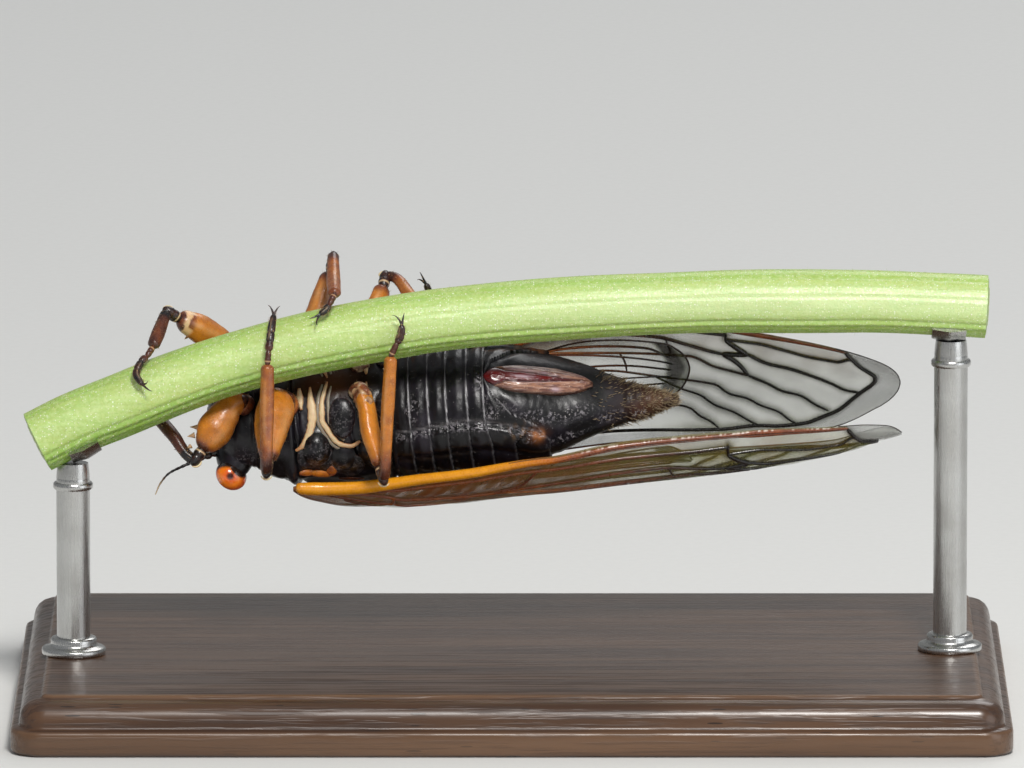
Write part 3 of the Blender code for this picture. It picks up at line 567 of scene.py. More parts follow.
def pitted_effect(name):
    """Close rounded pits or facets as a height."""
    bench, given, result = new_effect(name, "Height", Scale=6.0, Stretch=UNSTRETCHED)
    cell_inputs = {"Vector": millimetres(bench, given["Stretch"]), "Scale": given["Scale"]}
    cells = bench.add("ShaderNodeTexVoronoi", cell_inputs, feature="SMOOTH_F1")
    bench.feed(result, cells.outputs["Distance"])
    return bench.tree


EFFECT_MAKERS = {"Mottling": mottling_effect, "Specks": speck_effect, "Pits": pitted_effect}


def shell_material(looks):
    """Black glossy shell with a violet bloom, pale joint rims with painted highlights, whitish grains with
    painted glints, and brown and tan places.
    """
    bench = Finish("black_shell")
    cloud = bench.mottling(0.8, low=0.46, high=0.76)
    colour = bench.blend(cloud, looks.shell, looks.bloom)
    tan_and_orange = {"tan": (0.22, 0.115, 0.045), "orange": (0.42, 0.14, 0.03)}
    colour = bench.painted(colour, brown=(0.075, 0.024, 0.009), **tan_and_orange)
    streaks = bench.mottling(4.0, low=0.42, high=0.66, stretch=(1.2, 0.6, 0.6))
    # Pale joint rims, made brighter as painted highlight where light falls and along the folds
    colour = bench.coat(colour, bench.mask("rim"), bench.between(streaks, 0.35, 1.0), (0.5, 0.48, 0.5))
    # Whitish grains and grey flakes of the frost mask: painted glints and sheen together with some dusty
    # grain
    frosted = bench.times(bench.specks(9.0, 0.3, 0.4), bench.mask("frost"), clamp=True)
    colour = bench.blend(frosted, colour, (0.45, 0.42, 0.42))
    flakes = bench.mottling(6.0, 3.0, 0.52, 0.6)
    colour = bench.coat(colour, bench.mask("frost"), flakes, (0.24, 0.22, 0.24))
    dust = bench.specks(5.2, 0.15, 0.12)
    colour = bench.coat(colour, dust, bench.between(cloud, 0.12, 0.6), (0.5, 0.48, 0.5))
    low = bench.bump(bench.mottling(3.0, 3.0, 0.3, 0.7), 0.14, 0.05)
    normal = bench.bump(bench.mottling(16.0, 2.0), 0.2, 0.01, bench.bump(frosted, 0.5, 0.02, low))
    rough = bench.plus(bench.between(cloud, 0.3, 0.44), bench.times(bench.mask("fuzz"), 0.28), clamp=True)
    return bench.shaded(colour, rough, normal, Specular_IOR_Level=0.34, Coat_Weight=0.06, Coat_Roughness=0.1)


def eye_material(looks):
    """Orange-red eye with fine facets, a brighter ring and a dark spot deep inside."""
    bench = Finish("red_eye")
    cloud = bench.mottling(1.2)
    colour = bench.painted(
        bench.blend(cloud, looks.eye, (0.62, 0.07, 0.004)),
        ring=(0.92, 0.23, 0.015), pupil=(0.05, 0.006, 0.003), seat=(0.015, 0.008, 0.006),
    )
    return bench.shaded(
        colour, bench.between(cloud, 0.16, 0.28), bench.bump(bench.pits(24.0), 0.25, 0.01),
        Coat_Weight=0.8, Coat_Roughness=0.04, Subsurface_Weight=0.15, Subsurface_Scale=0.0003,
    )


def limb_material(looks):
    """Leg shell from bright orange through red-brown to black, with pale marks and painted highlight streaks.
    """
    bench = Finish("amber_limb")
    tone = bench.plus(bench.mask("tone"), bench.between(bench.mottling(1.8, 5.0), -0.08, 0.11), clamp=True)
    colour = bench.colours(tone, (
        (0.0, looks.limb_bright), (0.28, (0.46, 0.15, 0.016)), (0.5, looks.limb_brown),
        (0.72, (0.085, 0.02, 0.008)), (1.0, (0.008, 0.006, 0.007)),
    ))
    # The pale mask holds pale spines, crusts and cream marks, and also painted highlight streaks and
    # crescents
    colour = bench.painted(colour, pale=(0.78, 0.6, 0.36))
    colour = bench.coat(colour, bench.specks(5.5, 0.17, 0.4), 0.4, (0.8, 0.42, 0.16))
    fine = bench.mottling(14.0, 3.0)
    low = bench.bump(bench.pits(9.0), 0.3, 0.025)
    return bench.shaded(
        colour, bench.between(fine, 0.24, 0.44), bench.bump(fine, 0.4, 0.012, low),
        Coat_Weight=0.2, Coat_Roughness=0.14, Subsurface_Weight=0.12, Subsurface_Scale=0.0003,
    )


def sheath_material(looks):
    """Dark red blade between tan-brown, granular sheath halves with lengthwise lines, with painted shade in
    its grooves and painted glints.
    """
    bench = Finish("dark_red_sheath")
    lines = bench.mottling(5.0, 3.0, 0.42, 0.6, (0.14, 1.4, 1.4))
    grains = bench.specks(8.0, 0.34, 0.4)
    sides = bench.blend(lines, (0.35, 0.165, 0.1), (0.13, 0.04, 0.025))
    sides = bench.coat(sides, grains, 0.5, (0.5, 0.3, 0.2))
    blade = bench.coat(looks.sheath, lines, 0.5, (0.035, 0.003, 0.004))
    colour = bench.blend(bench.mask("tail"), blade, sides)
    # The dark mask is painted shade in the grooves and along the sides, and a darker rear tip; the pale mask
    # is painted glints
    colour = bench.painted(colour, dark=(0.014, 0.006, 0.006), pale=(0.62, 0.45, 0.52))
    rough = bench.plus(bench.between(lines, 0.14, 0.26), bench.times(bench.mask("tail"), 0.14))
    normal = bench.bump(lines, 0.5, 0.03, bench.bump(grains, 0.35, 0.02))
    return bench.shaded(colour, rough, normal, Coat_Weight=0.3, Coat_Roughness=0.08)


def cream_material(looks):
    """Cream membranes and rims of the breast, browner where they meet the shell."""
    bench = Finish("cream_membrane")
    colour = bench.coat(looks.cream, bench.mottling(2.4), 0.3, (0.45, 0.27, 0.14))
    colour = bench.painted(colour, brown=(0.34, 0.11, 0.02), grey=(0.2, 0.175, 0.14))
    fine = bench.mottling(12.0, 3.0)
    return bench.shaded(
        colour, bench.between(fine, 0.3, 0.5), bench.bump(fine, 0.3, 0.02),
        Subsurface_Weight=0.2, Subsurface_Scale=0.0004,
    )


def membrane_material(looks):
    """Clear wing skin with a yellow-olive tint, rusty or smoky where the masks say, with slanting painted
    highlights on its cells.
    """
    bench = Finish("wing_skin")
    cloud = bench.mottling(0.5)
    colour = bench.painted(
        bench.blend(cloud, looks.wing_tint, (0.21, 0.24, 0.09)),
        olive=(0.26, 0.17, 0.02), border=(0.4, 0.41, 0.38), rust=(0.24, 0.07, 0.02),
        lozenge=(0.33, 0.16, 0.085), smoke=(0.02, 0.014, 0.01),
    )
    cover = bench.plus(looks.wing_cover, bench.between(cloud, -0.03, 0.04))
    shares = {"olive": 0.16, "border": 0.17, "clear": -0.15, "rust": 0.72, "smoke": 0.62}
    for label, share in shares.items():
        cover = bench.plus(cover, bench.times(bench.mask(label), share), clamp=label == "smoke")
    crinkle = bench.mottling(2.6, 3.0)
    return bench.shaded(
        colour, bench.between(crinkle, 0.12, 0.24), bench.bump(crinkle, 0.3, 0.03),
        Alpha=cover, Coat_Weight=0.1, Coat_Roughness=0.1, Specular_IOR_Level=0.35,
    )


def vein_material(looks):
    """Wing veins and front edges: orange, then red-brown, then black, with painted glints."""
    bench = Finish("wing_vein")
    tone = bench.plus(bench.mask("tone"), bench.between(bench.mottling(2.2, 3.0), -0.04, 0.06), clamp=True)
    colour = bench.colours(tone, (
        (0.0, looks.vein_orange), (0.25, (0.5, 0.14, 0.01)), (0.5, (0.22, 0.055, 0.018)),
        (0.75, (0.045, 0.016, 0.008)), (1.0, (0.008, 0.006, 0.005)),
    ))
    # Painted glints along the top of the front edges
    colour = bench.painted(colour, pale=(0.95, 0.84, 0.76))
    fine = bench.mottling(10.0, 3.0)
    rough = bench.between(fine, 0.2, 0.4)
    return bench.shaded(colour, rough, bench.bump(fine, 0.3, 0.015), Coat_Weight=0.3, Coat_Roughness=0.12)


# Hairs of the tail, the body, the legs and the stem: colours of the root and the tip
HAIR_SHADES = {
    "golden_bristle": ((0.1, 0.045, 0.018), (0.95, 0.74, 0.45)),
    "pale_hair": ((0.1, 0.09, 0.09), (0.42, 0.4, 0.37)),
    "leg_hair": ((0.35, 0.18, 0.06), (0.7, 0.55, 0.36)),
    "frost_hair": ((0.62, 0.74, 0.42), (0.92, 0.95, 0.85)),
}


def hair_material(name):
    """Fine hairs, darker at the root than at the tip and not all alike."""
    root, tip = HAIR_SHADES[name]
    bench = Finish(name)
    along = bench.mask("along")
    colour = bench.blend(along, root, tip)
    colour = bench.coat(colour, bench.mottling(2.5, 2.0), 0.3, [shade * 0.4 for shade in root])
    colour = bench.coat(colour, bench.mask("dull"), 0.6, [shade * 0.6 for shade in root])
    return bench.shaded(colour, bench.between(along, 0.5, 0.32), None, Specular_IOR_Level=0.6)


def stem_material(looks):
    """Living green stem: pale yellow-green face with a painted highlight, a darker lower side of painted
    shade, and a glitter of fine waxy grains.
    """
    bench = Finish("green_stem")
    fibres = bench.mottling(3.0, 4.0, 0.4, 0.62, (0.07, 1.0, 1.0))
    colour = bench.blend(bench.mottling(0.6, 5.0, stretch=(0.5, 1.0, 1.0)), looks.stem, (0.45, 0.6, 0.14))
    # The under mask is painted shade and the crest mask a painted highlight
    colour = bench.painted(colour, under=looks.stem_under, crest=(0.7, 0.82, 0.45))
    colour = bench.coat(colour, fibres, 0.16, (0.2, 0.34, 0.04))
    colour = bench.coat(colour, bench.mottling(4.5, 4.0, 0.45, 0.7), 0.4, (0.7, 0.8, 0.42))
    glitter = bench.specks(9.0, 0.3, 0.3)
    colour = bench.coat(colour, glitter, 0.6, (0.93, 0.96, 0.8))
    colour = bench.coat(colour, bench.specks(4.5, 0.17, 0.13), 0.8, (0.95, 0.97, 0.86))
    fine = bench.mottling(9.0, 3.0)
    low = bench.bump(fibres, 0.25, 0.04, bench.bump(glitter, 0.4, 0.02))
    return bench.shaded(
        colour, bench.between(fine, 0.24, 0.44), bench.bump(fine, 0.3, 0.025, low),
        Subsurface_Weight=0.12, Subsurface_Scale=0.0008,
    )


def pith_material(looks):
    """Fresh cut end of the stem: wet pale pith in a ring of green fibres."""
    bench = Finish("cut_pith")
    grain = bench.pits(6.0)
    colour = bench.colours(bench.mask("radius"), (
        (0.0, (0.72, 0.76, 0.5)), (0.5, (0.66, 0.72, 0.42)), (0.68, (0.36, 0.5, 0.13)),
        (0.8, (0.52, 0.62, 0.26)), (1.0, (0.2, 0.34, 0.05)),
    ))
    colour = bench.coat(colour, grain, 0.5, (0.3, 0.36, 0.14))
    return bench.shaded(colour, bench.between(grain, 0.3, 0.6), bench.bump(grain, 0.6, 0.08))


def wood_material(looks):
    """Oiled dark wood of the stand, with grain lines and open pores."""
    bench = Finish("stand_wood")
    rings = bench.mottling(0.9, 3.0, 0.36, 0.64, (0.05, 1.0, 0.6))
    streaks = bench.mottling(4.5, 3.0, 0.5, 0.62, (0.04, 1.0, 1.0))
    pores = bench.specks(3.2, 0.16, 0.4, (0.12, 1.0, 1.0))
    colour = bench.blend(rings, looks.wood, (0.055, 0.024, 0.011))
    colour = bench.coat(colour, streaks, 0.55, (0.03, 0.013, 0.007))
    colour = bench.coat(colour, pores, 0.8, (0.012, 0.006, 0.004))
    colour = bench.coat(colour, bench.mask("worn"), 0.35, (0.26, 0.14, 0.07))
    normal = bench.bump(bench.maths("SUBTRACT", 1.0, pores), 0.4, 0.05, bench.bump(streaks, 0.35, 0.04))
    rough = bench.between(streaks, 0.3, 0.5)
    return bench.shaded(colour, rough, normal, Coat_Weight=0.25, Coat_Roughness=0.2)


def steel_material(looks):
    """Satin steel with fine lengthwise drawing marks."""
    bench = Finish("rod_steel")
    marks = bench.mottling(14.0, 3.0, stretch=(1.0, 1.0, 0.04))
    smears = bench.mottling(0.5, 3.0)
    colour = bench.blend(smears, looks.steel, (0.5, 0.495, 0.48))
    rough = bench.plus(bench.between(marks, 0.2, 0.3), bench.times(smears, 0.05))
    return bench.shaded(colour, rough, bench.bump(marks, 0.25, 0.01), Metallic=1.0)


def floor_material(looks):
    """Matt pale studio floor with a barely seen tooth."""
    bench = Finish("studio_floor")
    tooth = bench.mottling(2.0, 3.0)
    colour = bench.blend(tooth, looks.floor, [shade * 0.985 for shade in looks.floor])
    return bench.shaded(colour, bench.between(tooth, 0.75, 0.85), bench.bump(tooth, 0.05, 0.02))




SKIN_RINGS = 430
SKIN_SIDES = 176
RIBBON_SIDES = 14
# Sizes of the rings that close the skin's ends
END_SHARES = (0.12, 0.4, 0.65, 0.85, 0.96)
# Rear borders of the belly's plates; the seventh runs slantwise round the egg-layer
BELLY_BORDERS = (9.75, 10.63, 11.63, 12.58, 13.68)
LAST_BORDER = (
    (-90.0, 14.5), (-71.0, 15.0), (-63.0, 15.53), (-55.0, 15.89), (-50.0, 16.58), (-43.0, 17.21),
    (-25.0, 17.79), (90.0, 17.45),
)
FOLD_LINE = (
    (9.75, -38.0), (11.32, -42.0), (12.11, -44.0), (12.89, -46.0), (13.68, -47.0), (14.74, -46.0),
    (16.0, -42.0), (17.4, -35.0),
)
# Whitish places and painted glints of the belly: x, degrees, half length, half width in degrees
FROST_AND_GLINT_SPOTS = (
    (11.79, -43.0, 0.5, 3.0), (12.84, -45.0, 0.5, 3.0), (14.21, -44.0, 0.6, 3.5), (14.84, -56.0, 0.35, 5.0),
    (16.58, -54.0, 0.4, 4.0), (16.21, -39.0, 0.5, 3.5), (16.74, -31.0, 0.4, 3.5), (15.7, -63.0, 0.4, 4.0),
    (22.4, -25.0, 0.9, 9.0), (21.1, -31.0, 0.8, 9.0), (10.7, -60.0, 0.3, 9.0), (19.0, -20.0, 0.9, 6.0),
    (14.2, -82.0, 0.22, 9.0), (14.5, -69.0, 0.25, 5.0), (17.6, -52.0, 0.8, 6.0), (19.2, -50.0, 0.9, 8.0),
)
# Grey places of the head and the flanks: x, degrees, half length, half width in degrees, strength
FLANK_GREY_PLACES = (
    (5.6, -24.0, 0.6, 9.0, 0.7), (6.7, -14.0, 0.6, 6.0, 0.5),
    (1.9, -8.0, 0.5, 12.0, 0.5), (4.1, 8.0, 0.4, 12.0, 0.5),
)
# Ellipsoids that swell out of the face, the eyes' lobes, the crown and the flanks: centre, radii, softness
SWELLINGS = (
    ((0.95, 0.0, -1.35), (1.0, 0.9, 1.25), 0.1),
    ((1.3, 2.0, 0.3), (1.0, 1.5, 0.86), 0.1),
    ((1.3, -2.0, 0.3), (1.0, 1.5, 0.86), 0.1),
    ((1.5, 0.0, 0.9), (1.1, 1.4, 1.05), 0.1),
    ((5.6, 2.9, -1.5), (0.8, 0.85, 0.9), 0.35),
    ((5.6, -2.9, -1.5), (0.8, 0.85, 0.9), 0.35),
    ((7.0, 3.0, -0.9), (0.7, 0.75, 0.8), 0.35),
    ((7.0, -3.0, -0.9), (0.7, 0.75, 0.8), 0.35),
    ((8.6, 2.95, -1.55), (0.75, 0.75, 0.85), 0.35),
    ((8.6, -2.95, -1.55), (0.75, 0.75, 0.85), 0.35),
)
BACK_CROSS = (((7.95, 0.85), (8.6, 0.0), (9.25, -0.75)), ((7.95, -0.85), (8.6, 0.0), (9.25, 0.75)))
BACK_LINES = (((4.9, 0.3), (5.9, 0.75), (6.9, 0.6)), ((4.9, 1.1), (6.1, 1.75), (7.2, 1.6)))


def body_surface(x, angle):
    """Points of the body's plain surface at arrays of x and angle, without any lean."""
    half, top, bottom = look_up(BODY_TABLE, x)
    up = np.sin(angle)
    y = half * (1.0 - BACK_TAPER * np.maximum(up, 0.0)) * np.cos(angle)
    return np.stack((x, y, (top + bottom) / 2.0 + (top - bottom) / 2.0 * up), axis=-1)


def skin_point(x, degrees, lift=0.0):
    """Points on the body at x and degrees round it, and the way that the skin looks there."""
    x = np.asarray(x, dtype=float)
    angle = np.radians(np.asarray(degrees, dtype=float))
    step = 0.02
    here = body_surface(x, angle)
    along = body_surface(x + step, angle) - body_surface(x - step, angle)
    across = body_surface(x, angle + step) - body_surface(x, angle - step)
    facing = unit(np.cross(across, along))
    outward = here * (0.0, 1.0, 1.0)
    facing *= np.where((facing * outward).sum(axis=-1, keepdims=True) < 0.0, -1.0, 1.0)
    return here + facing * lift, facing


def leaned_grid(places, angles):
    """The body's plain surface on rings that lean back as its joints do."""
    lean = np.interp(places, *zip(*BODY_LEANS))[:, None]
    x, turn = np.meshgrid(places, angles, indexing="ij")
    for _ in range(5):
        x = places[:, None] + lean * body_surface(x, turn)[..., 2]
    return body_surface(x, turn)


def swell(grid, centre, radii, softness):
    """Push points that lie inside an ellipsoid out to its surface."""
    centre, radii = np.array(centre), np.array(radii)
    offset = (grid - centre) / radii
    depth = np.linalg.norm(offset, axis=-1)
    wanted = (depth + 1.0 + np.sqrt((depth - 1.0) ** 2 + softness ** 2)) / 2.0
    wanted -= softness ** 2 * ramp(depth, 1.1, 1.5)
    pushed = centre + offset * (wanted / np.maximum(depth, 1e-6))[..., None] * radii
    return np.where((depth < 1.5)[..., None], pushed, grid)


def spot_at(x, level, middle_x, middle_level, half_x, half_level):
    """A soft oval spot of strength one on the body."""
    return np.exp(-(((x - middle_x) / half_x) ** 2) - ((level - middle_level) / half_level) ** 2)


def segment_relief(x, z, level):
    """Steps, pale rims, whitish places and painted glints of the abdomen's plates, and its folded sides."""
    place = x - 0.1 * (z + 2.6)
    last = np.interp(level, *zip(*LAST_BORDER))
    side = ramp(level, -50.0, -25.0)
    borders = [np.full_like(x, border) for border in BELLY_BORDERS]
    borders += [14.55 + 0.25 * side, last + (16.0 - last) * side, last]
    height = np.zeros_like(x)
    rim = np.zeros_like(x)
    frost = np.zeros_like(x)
    for front, rear in zip(borders[:-1], borders[1:]):
        inside = (place >= front) & (place < rear)
        share = (place - front) / np.maximum(rear - front, 0.02)
        left = rear - place
        plate = -0.1 + 0.14 * ramp(share, 0.0, 0.5) + 0.035 * bump_at(share, 0.9, 0.09)
        height = np.where(inside, plate, height)
        rim = np.where(inside, ramp(left, 0.09, 0.04) * ramp(left, -0.02, 0.01), rim)
        frost = np.where(inside, 0.16 * bump_at(left, 0.06, 0.08), frost)
    height = np.where(place >= last, -0.08 + 0.1 * ramp(place - last, 0.0, 0.7), height)
    fold = np.interp(place, *zip(*FOLD_LINE))
    on_belly = (place > BELLY_BORDERS[0]) & (place < last)
    groove = 0.14 * bump_at(level, fold, 2.4) + 0.05 * bump_at(level, fold + 26.0, 2.2)
    lobe = 0.09 * span(level, fold + 1.0, fold + 5.0, fold + 19.0, fold + 25.0)
    height = np.where(on_belly, height - groove + lobe, height)
    # Painted light: rims and glints are brighter on the lit band of the belly, and a thin painted highlight
    # and glints follow each fold
    lit = span(level, -88.0, -74.0, -52.0, -40.0) + 0.2
    rim = np.where(on_belly, np.maximum(rim * lit, 0.5 * bump_at(level, fold - 1.6, 1.0)), 0.3 * rim)
    frost = np.where(on_belly, np.maximum(frost * lit, 0.7 * bump_at(level, fold + 2.0, 4.0)), 0.0)
    for spot in FROST_AND_GLINT_SPOTS:
        frost = np.maximum(frost, 1.3 * spot_at(x, level, *spot))
    return height, rim, frost


def head_relief(x, y, z, level):
    """Ribs of the face, the crown's furrows and the rims of the eyes."""
    aside = np.abs(y)
    face = ramp(1.9 - x, 0.0, 0.5) * ramp(-level, 15.0, 40.0) * ramp(0.95 - aside, 0.0, 0.2)
    ribs = 0.035 * np.cos(math.tau * (z - 0.35 * aside) / 0.3) * ramp(aside, 0.1, 0.2)
    height = face * (ribs - 0.07 * bump_at(y, 0.0, 0.07))
    furrows = 0.08 * bump_at(y, 0.0, 0.09) + 0.06 * bump_at(aside, 0.95 + 0.3 * (x - 1.2), 0.12)
    height -= ramp(level, 20.0, 50.0) * ramp(2.6 - x, 0.0, 0.5) * furrows
    return height - 0.07 * bump_at(x - 0.05 * z, 2.42, 0.1)


def thorax_relief(x, y, z, level, place):
    """The collar, the furrows and the raised cross of the back, and the seams of the flanks."""
    above = ramp(level, -25.0, -5.0)
    collar = 0.15 * bump_at(place, 4.38, 0.2) - 0.09 * bump_at(place, 2.7, 0.1)
    collar += 0.05 * bump_at(place, 2.95, 0.12)
    height = above * collar - 0.16 * bump_at(place, 4.72, 0.1)
    slant = place - 3.0 - 0.5 * np.abs(y)
    slanting = 0.09 * bump_at(slant, 0.0, 0.1) + 0.07 * bump_at(slant, -0.9, 0.1)
    height -= above * span(place, 2.8, 3.0, 4.0, 4.2) * slanting
    flank = (1.0 - above) * ramp(level, -80.0, -60.0)
    for seam, slope in ((5.0, 0.25), (6.35, -0.3), (7.75, 0.35), (9.1, 0.1)):
        height -= flank * 0.13 * bump_at(x - slope * (z + 1.5), seam, 0.09)
    height -= (1.0 - above) * 0.06 * bump_at(level, -33.0, 2.5) * span(x, 4.6, 4.9, 9.2, 9.6)
    on_top = level > 25.0
    spots = np.stack((x, y), axis=-1)[on_top]
    cross = distance_to_routes(spots, BACK_CROSS)
    smooth_lines = [smooth_route([(*spot, 0.0) for spot in route], 0.15)[:, :2] for route in BACK_LINES]
    lines = distance_to_routes(np.abs(spots), smooth_lines)
    height[on_top] += 0.2 * bump_at(cross, 0.0, 0.2) - 0.06 * bump_at(lines, 0.0, 0.07)
    height -= ramp(level, 10.0, 30.0) * 0.12 * bump_at(place, 7.75, 0.12)
    return height - 0.2 * bump_at(place, 9.7, 0.14)


def tail_relief(x, y, level):
    """The trough that holds the egg-layer, and the ridges of the last ring."""
    trough = 0.16 * bump_at(y, 0.0, 0.85) * span(x, 14.9, 15.6, 20.4, 21.4) * ramp(-level, 35.0, 60.0)
    ridge = 0.06 * bump_at(level, -12.0, 6.0) * span(x, 17.8, 18.6, 21.0, 22.0)
    ripples = 0.03 * np.cos(math.tau * (x - 22.2) / 0.5) * ramp(x, 22.2, 22.5)
    return ridge + ripples - trough - 0.09 * bump_at(x, 22.0, 0.14)


def closed_ends(grid, push):
    """Round off the first and the last ring, which move out along the body."""
    noses = []
    tails = []
    for share in END_SHARES:
        rise = np.array((push * math.sqrt(1.0 - share * share), 0.0, 0.0))
        front, rear = grid[0].mean(axis=0), grid[-1].mean(axis=0)
        noses.append(front + (grid[0] - front) * share - rise)
        tails.append(rear + (grid[-1] - rear) * share + rise)
    return np.concatenate((np.array(noses), grid, np.array(tails[::-1])))


def make_body_skin(material):
    """One skin from the face to the tail tip, with every plate and furrow in its shape."""
    even = np.linspace(0.0, BODY_STATIONS[-1][0], SKIN_RINGS)
    angles = np.linspace(-math.pi, math.pi, SKIN_SIDES, endpoint=False)
    grid = leaned_grid(even, angles)
    place, turn = np.meshgrid(even, angles, indexing="ij")
    level = np.degrees(np.arcsin(np.sin(turn)))
    normals = surface_normals(grid)
    x, y, z = grid[..., 0], grid[..., 1], grid[..., 2]
    abdomen = ramp(place, 9.6, 9.85)
    behind_head = ramp(place, 2.4, 2.6)
    steps, rim, frost = segment_relief(x, z, level)
    height = abdomen * steps + (1.0 - behind_head) * head_relief(x, y, z, level) + tail_relief(x, y, level)
    height += behind_head * (1.0 - ramp(place, 9.7, 9.9)) * thorax_relief(x, y, z, level, place)
    rough = noise_field(grid, 0.9, 3.0)
    fine = noise_field(grid * (1.6, 1.0, 1.0), 2.7, 8.0)
    height += 0.03 * rough + 0.013 * fine
    bulge = 0.2 * span(place, 4.6, 5.3, 12.0, 13.5)
    bulge += 0.14 * bump_at(place, 5.4, 0.6) + 0.16 * bump_at(place, 9.85, 0.5)
    height += bulge * span(level, 5.0, 25.0, 60.0, 80.0)
    grid = grid + normals * height[..., None]
    for centre, radii, softness in SWELLINGS:
        grid = swell(grid, centre, radii, softness)
    grey_places = np.zeros_like(x)
    for *spot, strength in FLANK_GREY_PLACES:
        grey_places = np.maximum(grey_places, strength * spot_at(x, level, *spot))
    # Painted shade: the pale rims and the glints fade on the far side of the body, towards the stem's shadow
    near_side = ramp(y, -0.8, 0.4)
    brown_tail = np.clip(ramp(x, 20.4, 23.4) * (0.6 + 0.8 * rough), 0.0, 1.0)
    flecks = spot_at(x, level, 16.4, -38.0, 0.6, 7.0) * np.clip(2.0 * fine, 0.0, 0.7)
    masks = {
        "rim": abdomen * rim * (1.0 - ramp(x, 18.0, 19.0)) * (0.4 + 0.6 * ramp(y, -0.8, 0.2)),
        "brown": np.maximum(0.85 * bump_at(x, 6.2, 1.6) * ramp(-level, 68.0, 84.0), brown_tail),
        "orange": spot_at(x, level, 17.28, -33.0, 0.36, 6.0) * (0.75 + 0.9 * fine),
        "frost": np.maximum(abdomen * frost * (0.15 + 0.85 * near_side), grey_places)
        * np.clip(0.6 + 1.4 * fine + 0.6 * rough, 0.0, 1.0),
        "tan": ramp(x, 22.6, 23.6) * np.clip(0.25 + 0.7 * rough, 0.0, 1.0) + flecks,
        "fuzz": ramp(x, 18.2, 20.6) * 0.8,
    }
    pile = Pile(*masks)
    ends = ((len(END_SHARES), len(END_SHARES)), (0, 0))
    padded = {label: np.pad(values, ends, mode="edge").clip(0.0, 1.0) for label, values in masks.items()}
    pile.add_tube(closed_ends(grid, 0.12), **padded)
    nodes = ("head", "pronotum", "mesothorax", "metathorax", "abdomen", "pygofer", "anal_tube")
    return pile.piece("body_skin", material, "black_shell", nodes)


def dome(centre, radii, direction, long_way, rows, around):
    """A full ellipsoid as rows of points, with its poles along the direction."""
    direction = unit(np.array(direction))
    long_way = np.array(long_way)
    long_way = unit(long_way - direction * (long_way @ direction))
    tilt = np.linspace(0.02, math.pi - 0.02, rows)
    turn = circle(around)
    local = np.stack((
        np.outer(np.sin(tilt), np.cos(turn)),
        np.outer(np.sin(tilt), np.sin(turn)),
        np.outer(np.cos(tilt), np.ones(around)),
    ), axis=-1)
    basis = np.stack((long_way, np.cross(direction, long_way), direction))
    return np.array(centre) + (local * np.array(radii)) @ basis, tilt


def degrees_from(rays, way):
    """Degrees between rays of length one and a direction."""
    return np.degrees(np.arccos(np.clip(rays @ np.array(way), -1.0, 1.0)))


def make_eye(side, name, material):
    """One bulging eye with a dark spot that looks out of it, in a black seat."""
    centre = np.array(EYE_CENTRE) * (1.0, side, 1.0)
    grid, tilt = dome(centre, EYE_RADII, (-0.15, side, -0.12), (0.8, 0.0, 0.62), 56, 96)
    rays = unit(grid - centre)
    spot = degrees_from(rays, unit(np.array((-0.04, 0.62 * side, -0.78))))
    lid = 1.0 - ramp(degrees_from(rays, (0.66, -0.23 * side, -0.71)), 44.0, 53.0)
    seat = np.maximum(ramp(np.degrees(tilt), 72.0, 88.0)[:, None], lid)
    pile = Pile("pupil", "ring", "seat")
    pile.add_tube(grid, pupil=1.0 - ramp(spot, 8.0, 20.0), ring=bump_at(spot, 42.0, 16.0), seat=seat)
    return pile.piece(name, material, "red_eye", (name,))


def make_ocelli(material):
    """Three small red simple eyes in a triangle on the crown."""
    pile = Pile("pupil", "ring", "seat")
    for x, y in ((1.05, 0.0), (1.5, 0.42), (1.5, -0.42)):
        top = float(look_up(BODY_TABLE, x)[1])
        grid, _ = dome((x, y, top + 0.16), (0.15, 0.15, 0.13), (0.0, 0.0, 1.0), (1.0, 0.0, 0.0), 14, 24)
        pile.add_tube(grid, seat=0.15)
    return pile.piece("ocelli", material, "red_eye")


def surface_ribbon(route, thickness, rise):
    """A flat band with uneven edges on the body along a route of x, degrees and half width."""
    line = smooth_route(route, 0.18)
    path, facing = skin_point(line[:, 0], line[:, 1], rise)
    wide = line[:, 2] * (1.0 + 0.3 * noise_field(path, 3.5, 2.0))
    tall = thickness * np.minimum(1.0, line[:, 2] / 0.15)
    return belt(path, facing, wide[:, None], tall[:, None], RIBBON_SIDES)


# Bands of the breast, each a route of x, degrees and half width
CREAM_BANDS = (
    ((4.78, -84.0, 0.08), (4.82, -75.0, 0.18), (4.88, -66.0, 0.08)),
    ((5.35, -84.0, 0.06), (5.36, -76.0, 0.16), (5.45, -60.0, 0.24), (5.28, -46.0, 0.2), (4.92, -37.0, 0.16),
     (4.55, -34.0, 0.07)),
    ((6.25, -88.0, 0.05), (6.11, -80.0, 0.12), (5.95, -68.0, 0.14), (5.95, -56.0, 0.15), (6.21, -48.0, 0.14),
     (6.53, -40.0, 0.14), (6.89, -35.0, 0.14), (7.42, -33.0, 0.13), (7.95, -37.0, 0.07)),
    ((8.3, -86.0, 0.06), (8.25, -72.0, 0.16), (8.2, -60.0, 0.18), (8.3, -50.0, 0.08)),
)
GREY_BANDS = (
    ((6.0, -86.0, 0.05), (5.78, -74.0, 0.1), (5.7, -58.0, 0.11), (5.95, -47.0, 0.1), (6.3, -38.0, 0.1),
     (6.75, -31.5, 0.08), (7.3, -29.0, 0.05)),
    ((6.45, -84.0, 0.05), (6.28, -70.0, 0.08), (6.3, -56.0, 0.08), (6.62, -46.0, 0.08), (7.1, -38.0, 0.06)),
)


def mirrored(degrees, side):
    """Degrees round the body for its right side, or for the same place on its left side."""
    return degrees if side > 0 else -180.0 - degrees


